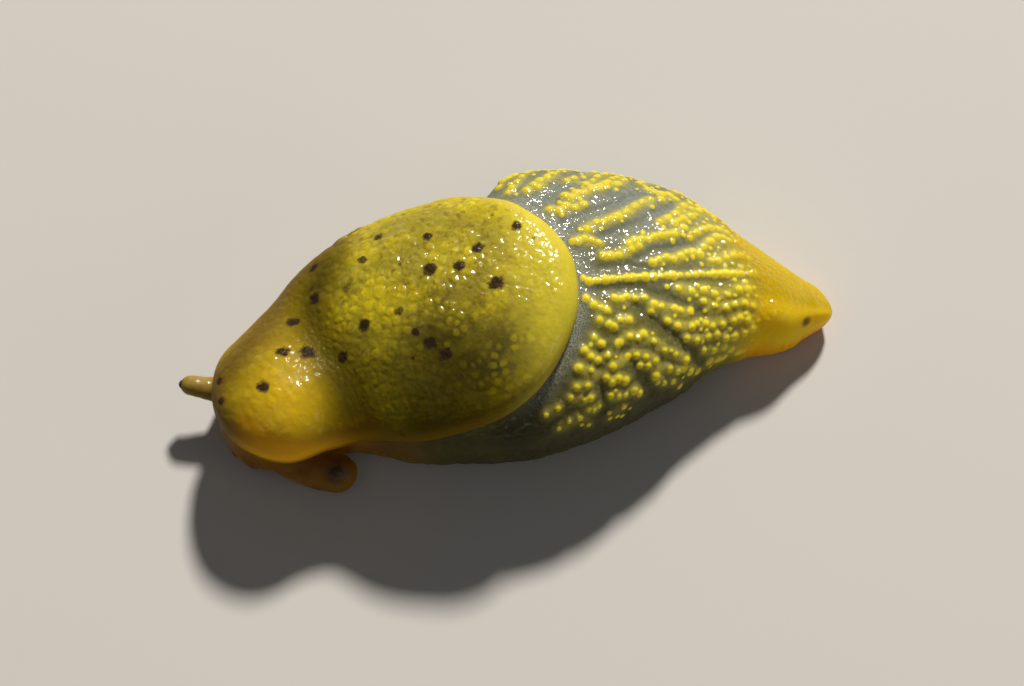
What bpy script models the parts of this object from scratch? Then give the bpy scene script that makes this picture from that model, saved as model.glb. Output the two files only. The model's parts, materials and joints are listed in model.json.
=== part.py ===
"""A manyspot capeslug at life size, drawn in and resting on its sole.

Metres, +Z up. The slug lies along X, head at -X and tail at +X, its right side at
+Y. The origin is on the floor under the middle of the sole. Sizes are given in
millimetres and scaled by MM when a mesh is made.

One formula gives the skin of the whole body: skin(along, round) is the point at a
place along the slug and an angle round it, 0 on the keel and +90 on the right
flank. Head, neck, trunk, back and tail tip are lengths of it, and the mantle is a
shield laid on it.
"""

import math
import random

import bmesh
import bpy
import numpy as np
from mathutils import Matrix, Vector

MM = 0.001

# Gap between touching nodes
GAP = 0.3

# Ends of the body and the lengths over which they round off
NOSE_X = -19.4
TAIL_X = 19.95
NOSE_ROUND = 3.6
NOSE_BLUNTNESS = 3.0
TAIL_ROUND = 1.3

# The sole: a slab that carries the body
FOOT_FRONT_X = -17.2
FOOT_BACK_X = 18.9
FOOT_THICK = 1.0
FOOT_FRINGE = 0.35
FOOT_END_ROUND = 4.0
BODY_FLOOR = FOOT_THICK + GAP

# The body at places along it: x, y of the keel, y of the left and right flank,
# height of the keel, height of the widest place, half width over the sole
STATIONS = (
    (-19.4, -1.5, -4.6, 3.4, 5.5, 2.3, 2.0),
    (-17.2, -1.9, -5.05, 3.0, 6.15, 2.5, 2.9),
    (-15.2, -1.9, -5.3, 4.15, 6.6, 2.8, 3.4),
    (-13.0, -1.0, -4.75, 6.05, 7.0, 3.1, 4.0),
    (-10.5, 0.3, -5.1, 7.35, 7.7, 3.4, 4.8),
    (-7.5, 1.0, -6.3, 8.35, 8.6, 3.8, 5.7),
    (-4.0, 1.5, -6.8, 8.9, 9.3, 4.2, 6.4),
    (-1.8, 1.7, -7.1, 9.4, 9.6, 4.4, 6.8),
    (0.6, 1.6, -7.1, 11.1, 9.7, 4.6, 7.0),
    (4.5, 1.75, -6.2, 11.0, 9.6, 4.4, 6.7),
    (8.5, 1.95, -4.5, 10.1, 8.4, 3.7, 5.5),
    (11.6, 2.05, -2.75, 8.8, 7.0, 3.0, 4.2),
    (14.2, 1.75, -1.8, 6.4, 5.9, 2.4, 3.0),
    (16.6, 0.8, -1.6, 4.35, 4.8, 1.9, 1.8),
    (18.6, 0.5, -0.6, 2.6, 3.3, 1.6, 0.8),
    (19.95, 0.5, -0.2, 1.9, 2.7, 1.5, 0.6),
)

# The dip between the head's hood and the main dome, along a slanting line
DIP_RIGHT = (-14.1, 6.0)
DIP_LEFT = (-9.6, -4.5)
DIP_DEPTH = 0.9
DIP_WIDTH = 2.3

# Where one length of the body ends and the next begins
HEAD_END_X = -14.2
NECK_END_X = -8.0
TRUNK_END_X = 1.0
BACK_END_X = 14.55

# The mantle: its thickness, and its margin as (x, degrees round the body), from
# the rear tip along the left side to the nose and back along the right
MANTLE_THICK = 1.0
MANTLE_MARGIN = (
    (3.1, 3.0), (2.8, -11.0), (1.6, -26.0), (-0.3, -40.0), (-2.7, -50.5), (-5.8, -56.0),
    (-9.0, -57.0), (-12.0, -64.0), (-14.3, -62.0), (-16.3, -54.0), (-17.8, -40.0),
    (-18.55, -15.0), (-18.7, 14.0), (-18.1, 44.0), (-16.0, 66.0), (-13.2, 77.0),
    (-9.5, 82.0), (-6.0, 84.0), (-3.3, 78.0), (-1.7, 61.0), (-0.6, 46.0), (0.6, 35.0),
    (2.0, 24.0), (2.9, 13.0),
)
MANTLE_MIDDLE = (-7.5, 0.0)
MANTLE_SPOKES = 58
MANTLE_RINGS = 10
LIP_STEPS = 5

# Tubercles on the back: rows start along the keel at a pitch and turn down the
# flanks by so many degrees for each millimetre that they run back
TUBERCLE_RADIUS = 0.36
TUBERCLE_SIZES = (0.85, 1.15)
TUBERCLE_SIDES = 6
TUBERCLE_PROFILE = ((-0.45, 0.4), (0.14, 0.3), (0.27, 0.0))
TUBERCLE_PITCH = 1.02
TUBERCLE_END_MARGIN = 0.55
TUBERCLE_SEED = 12
ROW_PITCH = 1.75
ROW_REACH = 9.0
ROW_TURN_LEFT = 11.5
ROW_TURN_RIGHT = 9.5
ROW_END_ANGLE = 104.0
ROW_STEP = 0.1

# Breathing hole in the mantle's right margin
BREATHING_HOLE_AT = (-9.4, 68.0)
BREATHING_HOLE_SIZE = (0.75, 0.55, 0.5)

# Right upper tentacle, half drawn in, and its eye
RIGHT_TENTACLE_PATH = ((-17.4, 0.1, 2.75), (-19.2, 0.35, 2.85), (-20.3, 0.65, 2.95), (-20.95, 0.82, 3.0))
RIGHT_TENTACLE_RADII = (1.15, 0.86, 0.68, 0.62)
RIGHT_EYE_RADIUS = 0.3

# Left upper tentacle, drawn in to a club that lies back along the neck
LEFT_TENTACLE_PATH = ((-16.2, -4.0, 2.5), (-15.0, -4.7, 2.45), (-13.8, -5.35, 2.35), (-12.6, -5.85, 2.3))
LEFT_TENTACLE_RADII = (1.25, 1.3, 1.38, 1.3)
LEFT_EYE_RADIUS = 0.48
LEFT_EYE_DIRECTION = (0.03, -0.32, 0.95)
EYE_GAP = 0.12
EYE_SUNK = 0.55

# The mouth's side of the head, which is turned to the slug's left
HEAD_MIDDLE = (-16.0, -1.8, 2.2)
MOUTH_DIRECTION = (-0.70, -0.71, -0.04)
MOUTH_SIZE = (0.6, 1.15, 0.17)
MOUTH_OFFSET = (-0.08, 0.0, -0.02)
# Offset (out, across, up) and half sizes of the upper lip and the two lower lips
LIPS = (
    ((-0.6, 0.0, 0.42), (0.62, 1.3, 0.42)),
    ((-0.55, -0.55, -0.42), (0.58, 0.72, 0.4)),
    ((-0.55, 0.55, -0.42), (0.58, 0.72, 0.4)),
)
LOWER_TENTACLES = {
    "lower_tentacle_right": (-0.92, -0.22, -0.33),
    "lower_tentacle_left": (-0.28, -0.9, -0.33),
}
LOWER_TENTACLE_RADIUS = 0.4
LOWER_TENTACLE_LENGTH = 0.62
LOWER_TENTACLE_ROOT = 0.8

# Colour, roughness, metallic
FINISHES = {
    "mantle_skin": ((0.36, 0.27, 0.03), 0.35, 0.0),
    "back_skin": ((0.22, 0.21, 0.09), 0.3, 0.0),
    "tail_skin": ((0.62, 0.36, 0.03), 0.3, 0.0),
    "head_skin": ((0.42, 0.24, 0.03), 0.32, 0.0),
    "sole_skin": ((0.34, 0.22, 0.07), 0.4, 0.0),
    "eye": ((0.03, 0.025, 0.02), 0.2, 0.0),
}


def clear_scene():
    """Remove the objects that the file opened with."""
    for item in list(bpy.data.objects):
        bpy.data.objects.remove(item, do_unlink=True)


def finish(name):
    """Give the named Principled material, made once."""
    if name in bpy.data.materials:
        return bpy.data.materials[name]
    colour, roughness, metallic = FINISHES[name]
    material = bpy.data.materials.new(name)
    material.use_nodes = True
    shader = material.node_tree.nodes["Principled BSDF"]
    shader.inputs["Base Color"].default_value = (*colour, 1.0)
    shader.inputs["Roughness"].default_value = roughness
    shader.inputs["Metallic"].default_value = metallic
    return material


def smooth_value(at, places, values):
    """Smooth curve through values given at rising places."""
    slopes = np.gradient(values, places)
    slopes[1:-1] = (values[2:] - values[:-2]) / (places[2:] - places[:-2])
    cell = np.clip(np.searchsorted(places, at) - 1, 0, len(places) - 2)
    width = places[cell + 1] - places[cell]
    t = np.clip((at - places[cell]) / width, 0.0, 1.0)
    start = (1 + 2 * t) * (1 - t) ** 2 * values[cell] + t * (1 - t) ** 2 * width * slopes[cell]
    end = t * t * (3 - 2 * t) * values[cell + 1] + t * t * (t - 1) * width * slopes[cell + 1]
    return start + end


def station_values(along):
    """Keel y, left y, right y, keel height, widest height and sole half width at x."""
    table = np.array(STATIONS)
    return [smooth_value(along, table[:, 0], table[:, column]) for column in range(1, 7)]


def end_rounding(along):
    """1 along the body, falling to 0 on a blunt curve at the nose and a quarter circle at the tail."""
    nose = np.clip((NOSE_X + NOSE_ROUND - along) / NOSE_ROUND, 0.0, 1.0)
    tail = np.clip((along - TAIL_X + TAIL_ROUND) / TAIL_ROUND, 0.0, 1.0)
    return (1.0 - nose ** NOSE_BLUNTNESS) ** (1 / NOSE_BLUNTNESS) * np.sqrt(1.0 - tail ** 2)


def dip(x, y):
    """Depth of the slanting dip between the hood and the dome."""
    start = np.array(DIP_RIGHT)
    run = np.array(DIP_LEFT) - start
    off_line = ((x - start[0]) * run[1] - (y - start[1]) * run[0]) / np.hypot(*run)
    return DIP_DEPTH * np.exp(-(off_line / DIP_WIDTH) ** 2)


def skin(along, around):
    """Points of the body's skin, in mm, at x and at radians round it from the keel."""
    along, around = np.broadcast_arrays(np.asarray(along, float), np.asarray(around, float))
    keel, left, right, height, widest, foot = station_values(along)
    size = end_rounding(along)
    side = np.where(around >= 0, 1.0, -1.0)
    reach = np.where(around >= 0, right - keel, left - keel) * size
    middle = (left + right) / 2 - keel
    edge = (middle + side * foot) * size
    below = np.clip(np.abs(around) - math.pi / 2, 0.0, math.pi / 2)
    above = np.minimum(np.abs(around), math.pi / 2)
    y_above = keel + reach * np.sin(above)
    rise = (height - widest) * size - dip(along, y_above) * size
    z_above = widest + rise * np.cos(above)
    y_below = keel + edge + (reach - edge) * np.cos(below)
    z_below = widest - (widest - BODY_FLOOR) * size * np.sin(below)
    lower = np.abs(around) > math.pi / 2
    return np.stack([along, np.where(lower, y_below, y_above), np.where(lower, z_below, z_above)], -1)


def skin_normal(along, around, step=0.02):
    """Unit normals of the skin, facing out."""
    ahead = skin(along + step, around) - skin(along - step, around)
    turn = skin(along, around + step) - skin(along, around - step)
    normal = np.cross(ahead, turn)
    return normal / np.linalg.norm(normal, axis=-1, keepdims=True)


def new_object(name, points, faces, material):
    """One object from points in mm, its faces turned outward and shaded smooth."""
    mesh = bpy.data.meshes.new(name)
    mesh.from_pydata([tuple(MM * float(c) for c in point) for point in points], [], faces)
    work = bmesh.new()
    work.from_mesh(mesh)
    bmesh.ops.recalc_face_normals(work, faces=work.faces)
    if work.calc_volume(signed=True) < 0:
        bmesh.ops.reverse_faces(work, faces=work.faces)
    work.to_mesh(mesh)
    work.free()
    mesh.materials.append(finish(material))
    mesh.shade_smooth()
    mesh.set_sharp_from_angle(angle=math.radians(50))
    item = bpy.data.objects.new(name, mesh)
    bpy.context.scene.collection.objects.link(item)
    return item


def bridge(rings, start_pole=None, end_pole=None):
    """Points and faces of a closed skin over rings of equal count.

    A pole closes its end in a point. An end without one is closed by a flat face.
    """
    count = len(rings[0])
    points = [tuple(point) for ring in rings for point in ring]
    faces = []
    for row in range(len(rings) - 1):
        for spoke in range(count):
            following = (spoke + 1) % count
            a, b = row * count + spoke, row * count + following
            faces.append((a, b, b + count, a + count))
    last = (len(rings) - 1) * count
    for pole, offset, flip in ((start_pole, 0, False), (end_pole, last, True)):
        ring = [offset + spoke for spoke in range(count)]
        if pole is None:
            faces.append(tuple(ring if flip else reversed(ring)))
            continue
        points.append(tuple(pole))
        tip = len(points) - 1
        for spoke in range(count):
            a, b = ring[spoke], ring[(spoke + 1) % count]
            faces.append((b, a, tip) if not flip else (a, b, tip))
    return points, faces


def body_length(start_x, end_x, rows, spokes, grow=0.0):
    """Rings and poles of a length of the body, grown outward by grow."""
    around = np.linspace(-math.pi, math.pi, spokes)
    share = np.linspace(0.0, 1.0, rows)
    if start_x <= NOSE_X:
        share = 1.0 - np.cos(share * math.pi / 2)
    elif end_x >= TAIL_X:
        share = np.sin(share * math.pi / 2)
    places = start_x + (end_x - start_x) * share
    rings = []
    for x in places:
        if end_rounding(x) < 1e-6:
            continue
        line = skin(x, around)
        if grow:
            line = line + grow * skin_normal(np.full(spokes, x), around)
        rings.append(line)
    _, _, _, _, nose_height, _ = station_values(np.array(NOSE_X))
    nose_keel = station_values(np.array(NOSE_X))[0]
    tail = station_values(np.array(TAIL_X))
    start_pole = (NOSE_X - grow, nose_keel, nose_height) if start_x <= NOSE_X else None
    end_pole = (TAIL_X + grow, tail[0], tail[4]) if end_x >= TAIL_X else None
    return rings, start_pole, end_pole


def body_node(name, start_x, end_x, rows, spokes, material):
    """One length of the body as a closed solid."""
    rings, start_pole, end_pole = body_length(start_x, end_x, rows, spokes)
    points, faces = bridge(rings, start_pole, end_pole)
    return new_object(name, points, faces, material)


def ellipsoid(name, middle, sizes, turn, material, segments=14, rings=8):
    """An ellipsoid of the given half sizes, turned by a 3x3 matrix."""
    lines = []
    for row in range(1, rings):
        tilt = math.pi * row / rings
        lines.append([
            (math.sin(tilt) * math.cos(2 * math.pi * k / segments),
             math.sin(tilt) * math.sin(2 * math.pi * k / segments),
             math.cos(tilt))
            for k in range(segments)
        ])
    points, faces = bridge(lines, (0, 0, 1), (0, 0, -1))
    placed = [
        Vector(middle) + turn @ Vector([c * s for c, s in zip(point, sizes)]) for point in points
    ]
    return new_object(name, placed, faces, material)


def facing(direction):
    """Matrix whose first axis is direction, second is level and third is up."""
    first = Vector(direction).normalized()
    second = Vector((0, 0, 1)).cross(first).normalized()
    third = first.cross(second)
    return Matrix((first, second, third)).transposed()


def tube(name, path, radii, material, rows=12, segments=16):
    """A tapered tube along a bent path with a round end, its root closed flat."""
    path, radii = np.array(path), np.array(radii)
    places = np.linspace(0.0, 1.0, len(path))
    share = np.linspace(0.0, 1.0, rows)
    spine = np.stack([smooth_value(share, places, path[:, axis]) for axis in range(3)], -1)
    width = smooth_value(share, places, radii)
    heading = np.gradient(spine, axis=0)
    heading /= np.linalg.norm(heading, axis=1, keepdims=True)
    rings = []
    for point, ahead, radius in zip(spine, heading, width):
        rings.append(circle(point, ahead, radius, segments))
    tip, ahead, radius = spine[-1], heading[-1], width[-1]
    for step in (0.3, 0.6, 0.85):
        angle = step * math.pi / 2
        middle = tip + ahead * radius * math.sin(angle)
        rings.append(circle(middle, ahead, radius * math.cos(angle), segments))
    points, faces = bridge(rings, None, tip + ahead * radius)
    return new_object(name, points, faces, material)


def circle(middle, ahead, radius, segments):
    """Points of a circle round a heading."""
    turn = facing(ahead)
    return [
        tuple(Vector(middle) + turn @ Vector((0, radius * math.cos(a), radius * math.sin(a))))
        for a in (2 * math.pi * k / segments for k in range(segments))
    ]


def combine(item, other, operation):
    """Join, or cut by, another object and remove that object."""
    change = item.modifiers.new(operation.lower(), "BOOLEAN")
    change.operation = operation
    change.solver = "EXACT"
    change.object = other
    settle(item)
    bpy.data.objects.remove(other, do_unlink=True)


def settle(item):
    """Apply an object's modifiers to its mesh."""
    bpy.context.view_layer.update()
    graph = bpy.context.evaluated_depsgraph_get()
    made = bpy.data.meshes.new_from_object(item.evaluated_get(graph), depsgraph=graph)
    item.modifiers.clear()
    item.data = made
    keep_largest(item)


def keep_largest(item):
    """Keep only the largest closed surface of a mesh."""
    work = bmesh.new()
    work.from_mesh(item.data)
    groups = []
    left = set(work.verts)
    while left:
        group, front = set(), [left.pop()]
        while front:
            corner = front.pop()
            group.add(corner)
            for edge in corner.link_edges:
                other = edge.other_vert(corner)
                if other in left:
                    left.remove(other)
                    front.append(other)
        groups.append(group)
    largest = max(groups, key=len)
    drop = [corner for group in groups if group is not largest for corner in group]
    bmesh.ops.delete(work, geom=drop, context="VERTS")
    work.to_mesh(item.data)
    work.free()


def root_cutter(name):
    """The front of the body grown by the gap, which clears a root from the skin."""
    rings, start_pole, end_pole = body_length(NOSE_X, NECK_END_X, 26, 48, grow=GAP)
    points, faces = bridge(rings, start_pole, end_pole)
    cutter = new_object(name, points, faces, "head_skin")
    cutter.hide_render = True
    cutter.display_type = "WIRE"
    return cutter


def skin_hit(head, direction, from_point=HEAD_MIDDLE):
    """Where a line from the head's middle leaves its skin, in mm."""
    found, point, _, _ = head.ray_cast(MM * Vector(from_point), Vector(direction).normalized())
    assert found
    return point / MM


def make_foot():
    """The sole: a flat-bottomed slab under the whole body, its rim slightly fringed."""
    steps = 34
    share = (1 - np.cos(np.linspace(0, math.pi, steps + 1))) / 2
    along = FOOT_FRONT_X + (FOOT_BACK_X - FOOT_FRONT_X) * share
    _, left, right, _, _, foot = station_values(along)
    middle = (left + right) / 2
    front = np.clip((FOOT_FRONT_X + FOOT_END_ROUND - along) / FOOT_END_ROUND, 0, 1)
    back = np.clip((along - FOOT_BACK_X + FOOT_END_ROUND) / FOOT_END_ROUND, 0, 1)
    half = (foot + FOOT_FRINGE) * np.sqrt(1 - front ** 2) * np.sqrt(1 - back ** 2)
    right_side = np.stack([along, middle + half], -1)
    left_side = np.stack([along, middle - half], -1)[-2:0:-1]
    outline = np.concatenate([right_side, left_side])
    centre = np.array([(FOOT_FRONT_X + FOOT_BACK_X) / 2, middle.mean()])
    rings = []
    for height, inset in ((0.0, 0.4), (0.3, 0.05), (0.65, 0.0), (FOOT_THICK, 0.3)):
        out = outline - centre
        shrunk = centre + out * (1 - inset / np.maximum(np.linalg.norm(out, axis=1, keepdims=True), 1.0))
        rings.append(np.concatenate([shrunk, np.full((len(shrunk), 1), height)], 1))
    points, faces = bridge(rings)
    return new_object("foot", points, faces, "sole_skin")


def mantle_margin(spokes):
    """Points of the mantle's margin in the skin's (x, radians), evenly along it."""
    marks = np.array(MANTLE_MARGIN + MANTLE_MARGIN[:1])
    marks[:, 1] = np.radians(marks[:, 1])
    places = np.linspace(0, 1, len(marks))
    wrapped = np.concatenate([marks[-3:-1], marks, marks[1:3]])
    spacing = places[1]
    longer = np.concatenate([places[:2] - 2 * spacing, places, places[-2:] + 2 * spacing])
    at = np.arange(spokes) / spokes
    return np.stack([smooth_value(at, longer, wrapped[:, axis]) for axis in range(2)], -1)


def mantle_ring(share, height):
    """A ring of the mantle at a share of the way to its margin and a height over the skin."""
    place = np.array(MANTLE_MIDDLE) + share * (mantle_margin(MANTLE_SPOKES) - np.array(MANTLE_MIDDLE))
    return skin(place[:, 0], place[:, 1]) + height * skin_normal(place[:, 0], place[:, 1])


def mantle_edge():
    """The margin's points on the skin and their directions out along it."""
    edge = mantle_ring(1.0, 0.0)
    outward = edge - mantle_ring(0.985, 0.0)
    return edge, outward / np.linalg.norm(outward, axis=1, keepdims=True)


def make_mantle():
    """The mantle: a shield over the front of the body with a rounded, free margin."""
    shares = np.linspace(0, 1, MANTLE_RINGS + 1)[1:]
    up = skin_normal(*MANTLE_MIDDLE)
    crown = skin(*MANTLE_MIDDLE) + (GAP + MANTLE_THICK) * up
    hollow = skin(*MANTLE_MIDDLE) + GAP * up
    lip_radius = MANTLE_THICK / 2
    edge, outward = mantle_edge()
    raised = mantle_ring(1.0, 1.0) - edge
    rings = [mantle_ring(share, GAP + MANTLE_THICK) for share in shares]
    for step in range(1, LIP_STEPS):
        turn = math.pi * step / LIP_STEPS
        lip = edge + outward * lip_radius * math.sin(turn)
        rings.append(lip + raised * (GAP + lip_radius + lip_radius * math.cos(turn)))
    rings += [mantle_ring(share, GAP) for share in shares[::-1]]
    points, faces = bridge(rings, crown, hollow)
    mantle = new_object("mantle", points, faces, "mantle_skin")
    hole_x, hole_round = BREATHING_HOLE_AT[0], math.radians(BREATHING_HOLE_AT[1])
    normal = skin_normal(np.array(hole_x), np.array(hole_round))
    hole = skin(hole_x, hole_round) + (GAP + MANTLE_THICK) * normal
    cutter = ellipsoid("hole_cutter", hole, BREATHING_HOLE_SIZE, facing((1, 0.02, 0)), "mantle_skin")
    combine(mantle, cutter, "DIFFERENCE")


def clear_of_mantle(place, reach):
    """Whether a place on the skin, as (x, radians), lies behind the mantle's lip by reach."""
    edge, outward = mantle_edge()
    away = skin(*place) - edge
    nearest = np.argmin(np.linalg.norm(away, axis=1))
    return np.dot(away[nearest], outward[nearest]) > MANTLE_THICK / 2 + GAP + reach


def tubercle_places():
    """Places of the tubercles as (x, radians): one row on the keel, slanting rows beside it.

    Each slanting row starts on the keel, or where the keel runs on under the mantle,
    and turns down the flank as it runs back.
    """
    draw = random.Random(TUBERCLE_SEED)
    places = []
    x = BACK_END_X - TUBERCLE_END_MARGIN
    while x > TRUNK_END_X:
        places.append((x, 0.0))
        x -= TUBERCLE_PITCH
    first_row = int((TRUNK_END_X - ROW_REACH) / ROW_PITCH)
    for side, turn in ((-1, ROW_TURN_LEFT), (1, ROW_TURN_RIGHT)):
        for row in range(first_row, int(BACK_END_X / ROW_PITCH) + 1):
            start = (row + 0.5) * ROW_PITCH
            x = start + TUBERCLE_PITCH * draw.uniform(0.7, 1.1)
            while x < BACK_END_X - TUBERCLE_END_MARGIN:
                angle = turn * (x - start)
                if angle > ROW_END_ANGLE:
                    break
                around = side * math.radians(angle)
                places.append((x, around * draw.uniform(0.97, 1.03)))
                ahead = skin(x + ROW_STEP, around + side * math.radians(turn) * ROW_STEP)
                run = np.linalg.norm(ahead - skin(x, around))
                x += ROW_STEP * TUBERCLE_PITCH / run * draw.uniform(0.9, 1.12)
    return [
        place for place in places
        if place[0] > TRUNK_END_X + GAP + TUBERCLE_RADIUS and clear_of_mantle(place, TUBERCLE_RADIUS)
    ]


def make_tubercle(place, size, holder):
    """One round tubercle, its root sunk in the skin, linked to a holding collection."""
    up = skin_normal(np.array(place[0]), np.array(place[1]))
    turn = facing(up)
    foot = Vector(skin(*place))
    rings = []
    for height, radius in TUBERCLE_PROFILE[:-1]:
        rings.append([
            foot + turn @ Vector((height * size, radius * size * math.cos(a), radius * size * math.sin(a)))
            for a in (2 * math.pi * k / TUBERCLE_SIDES for k in range(TUBERCLE_SIDES))
        ])
    tip = foot + turn @ Vector((TUBERCLE_PROFILE[-1][0] * size, 0, 0))
    points, faces = bridge(rings, None, tip)
    knob = new_object("tubercle", points, faces, "back_skin")
    bpy.context.scene.collection.objects.unlink(knob)
    holder.objects.link(knob)


def make_back():
    """The back with its rows of tubercles, fused to it in one union."""
    back = body_node("back", TRUNK_END_X + GAP, BACK_END_X, 16, 44, "back_skin")
    draw = random.Random(TUBERCLE_SEED + 1)
    holder = bpy.data.collections.new("tubercles")
    bpy.context.scene.collection.children.link(holder)
    for place in tubercle_places():
        make_tubercle(place, draw.uniform(*TUBERCLE_SIZES), holder)
    join = back.modifiers.new("tubercles", "BOOLEAN")
    join.operation = "UNION"
    join.solver = "EXACT"
    join.operand_type = "COLLECTION"
    join.collection = holder
    settle(back)
    for knob in list(holder.objects):
        bpy.data.objects.remove(knob, do_unlink=True)
    bpy.data.collections.remove(holder)


def make_head():
    """The head under the hood, with the mouth's slit between its lips."""
    head = body_node("head", NOSE_X, HEAD_END_X, 14, 36, "head_skin")
    mouth = skin_hit(head, MOUTH_DIRECTION)
    turn = facing(MOUTH_DIRECTION)
    for offset, size in LIPS:
        lip = ellipsoid("lip", mouth + turn @ Vector(offset), size, turn, "head_skin", 12, 7)
        combine(head, lip, "UNION")
    slit = ellipsoid("slit", mouth + turn @ Vector(MOUTH_OFFSET), MOUTH_SIZE, turn, "head_skin")
    combine(head, slit, "DIFFERENCE")
    return head


def make_lower_tentacles(head):
    """Two short feelers beside the mouth."""
    for name, direction in LOWER_TENTACLES.items():
        root = skin_hit(head, direction)
        out = Vector(direction).normalized()
        tip = LOWER_TENTACLE_LENGTH - LOWER_TENTACLE_RADIUS
        path = [root - out * LOWER_TENTACLE_ROOT, root, root + out * tip]
        radii = [LOWER_TENTACLE_RADIUS * widening for widening in (1.25, 1.12, 1.0)]
        feeler = tube(name, path, radii, "head_skin", rows=7, segments=12)
        combine(feeler, root_cutter("root_cutter"), "DIFFERENCE")


def make_eyed_tentacle(side, path, radii, eye_radius, eye_direction):
    """An upper tentacle with its eye bead in a socket near the tip."""
    tentacle = tube("tentacle_" + side, path, radii, "head_skin")
    combine(tentacle, root_cutter("root_cutter"), "DIFFERENCE")
    looking = Vector(eye_direction).normalized()
    eye_middle = Vector(path[-1]) + looking * (radii[-1] - EYE_SUNK * eye_radius)
    size = eye_radius + EYE_GAP
    socket = ellipsoid("socket", eye_middle, (size, size, size), facing(eye_direction), "head_skin")
    combine(tentacle, socket, "DIFFERENCE")
    eye_sizes = (eye_radius, eye_radius, eye_radius)
    ellipsoid("eye_" + side, eye_middle, eye_sizes, facing(eye_direction), "eye")


def main():
    """Make every node."""
    clear_scene()
    make_foot()
    head = make_head()
    body_node("neck", HEAD_END_X + GAP, NECK_END_X, 8, 36, "head_skin")
    body_node("trunk", NECK_END_X + GAP, TRUNK_END_X, 9, 40, "back_skin")
    make_back()
    body_node("tail_tip", BACK_END_X + GAP, TAIL_X, 12, 32, "tail_skin")
    make_mantle()
    make_lower_tentacles(head)
    tip_heading = np.array(RIGHT_TENTACLE_PATH[-1]) - np.array(RIGHT_TENTACLE_PATH[-2])
    make_eyed_tentacle("right", RIGHT_TENTACLE_PATH, RIGHT_TENTACLE_RADII, RIGHT_EYE_RADIUS, tip_heading)
    make_eyed_tentacle("left", LEFT_TENTACLE_PATH, LEFT_TENTACLE_RADII, LEFT_EYE_RADIUS, LEFT_EYE_DIRECTION)


main()
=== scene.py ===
"""The manyspot capeslug, dressed for rendering: one moist skin over the solids, and two eyes.

Lengths are in millimetres and become metres when a mesh is made. The head points to -X,
the tail to +X, the slug's right side is +Y and the floor is Z = 0.
"""

import json
import math
import random

import bmesh
import bpy
import numpy as np
from mathutils import Matrix, Vector
from mathutils.kdtree import KDTree

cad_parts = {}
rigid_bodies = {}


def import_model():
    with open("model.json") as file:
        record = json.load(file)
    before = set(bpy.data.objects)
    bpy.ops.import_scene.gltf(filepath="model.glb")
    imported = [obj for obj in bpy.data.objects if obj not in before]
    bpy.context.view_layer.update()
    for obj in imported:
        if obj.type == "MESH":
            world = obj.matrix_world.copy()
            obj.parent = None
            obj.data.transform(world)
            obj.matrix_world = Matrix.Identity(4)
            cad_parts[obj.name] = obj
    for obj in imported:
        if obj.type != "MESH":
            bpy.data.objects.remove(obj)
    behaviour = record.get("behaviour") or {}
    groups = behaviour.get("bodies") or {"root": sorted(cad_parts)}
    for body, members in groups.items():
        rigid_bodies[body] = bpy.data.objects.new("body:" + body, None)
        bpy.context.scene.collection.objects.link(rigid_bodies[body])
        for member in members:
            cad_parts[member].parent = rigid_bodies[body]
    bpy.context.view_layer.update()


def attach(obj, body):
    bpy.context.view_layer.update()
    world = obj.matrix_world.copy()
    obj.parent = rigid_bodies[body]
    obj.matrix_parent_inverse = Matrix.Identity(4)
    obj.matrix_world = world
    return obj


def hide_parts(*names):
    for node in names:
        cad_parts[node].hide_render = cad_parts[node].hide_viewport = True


MM = 0.001

# Camera, as azimuth and elevation in degrees, and the photograph's scale and frame in pixels
CAMERA_AZIMUTH = -8.0
CAMERA_ELEVATION = 72.0
CAMERA_DISTANCE = 178.0
CAMERA_AIM = (-0.65, 0.45, 4.0)
LENS = 100.0
SENSOR = 36.0
PIXELS_PER_MM = 16.0
PHOTO_WIDTH = 1024
PHOTO_HEIGHT = 686

# The body's sizes, the same as the solids'
NOSE_X = -19.4
TAIL_X = 19.95
NOSE_ROUND = 3.6
NOSE_BLUNTNESS = 3.0
TAIL_ROUND = 1.3
BODY_FLOOR = 1.3
FOOT_FRONT_X = -17.2
FOOT_BACK_X = 18.9
FOOT_FRINGE = 0.35
FOOT_END_ROUND = 4.0
SOLE_PROFILE = (  # height over the floor, and how far the sole's edge is drawn in there
    (0.0, 0.42), (0.08, 0.2), (0.25, 0.06), (0.5, 0.0), (0.75, 0.04), (0.95, 0.2), (1.15, 0.5), (1.7, 0.9),
)
STATIONS = (  # x, keel y, left y, right y, keel height, widest height, half width over sole
    (-19.4, -1.5, -4.6, 3.4, 5.5, 2.3, 2.0),
    (-17.2, -1.9, -5.05, 3.0, 6.15, 2.5, 2.9),
    (-15.2, -1.9, -5.3, 4.15, 6.6, 2.8, 3.4),
    (-13.0, -1.0, -4.75, 6.05, 7.0, 3.1, 4.0),
    (-10.5, 0.3, -5.1, 7.35, 7.7, 3.4, 4.8),
    (-7.5, 1.0, -6.3, 8.35, 8.6, 3.8, 5.7),
    (-4.0, 1.5, -6.8, 8.9, 9.3, 4.2, 6.4),
    (-1.8, 1.7, -7.1, 9.4, 9.6, 4.4, 6.8),
    (0.6, 1.6, -7.1, 11.1, 9.7, 4.6, 7.0),
    (4.5, 1.75, -6.2, 11.0, 9.6, 4.4, 6.7),
    (8.5, 1.95, -4.5, 10.1, 8.4, 3.7, 5.5),
    (11.6, 2.05, -2.75, 8.8, 7.0, 3.0, 4.2),
    (14.2, 1.75, -1.8, 6.4, 5.9, 2.4, 3.0),
    (16.6, 0.8, -1.6, 4.35, 4.8, 1.9, 1.8),
    (18.6, 0.5, -0.6, 2.6, 3.3, 1.6, 0.8),
    (19.95, 0.5, -0.2, 1.9, 2.7, 1.5, 0.6),
)
DIP_RIGHT = (-14.1, 6.0)
DIP_LEFT = (-9.6, -4.5)
DIP_DEPTH = 0.9
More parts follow.
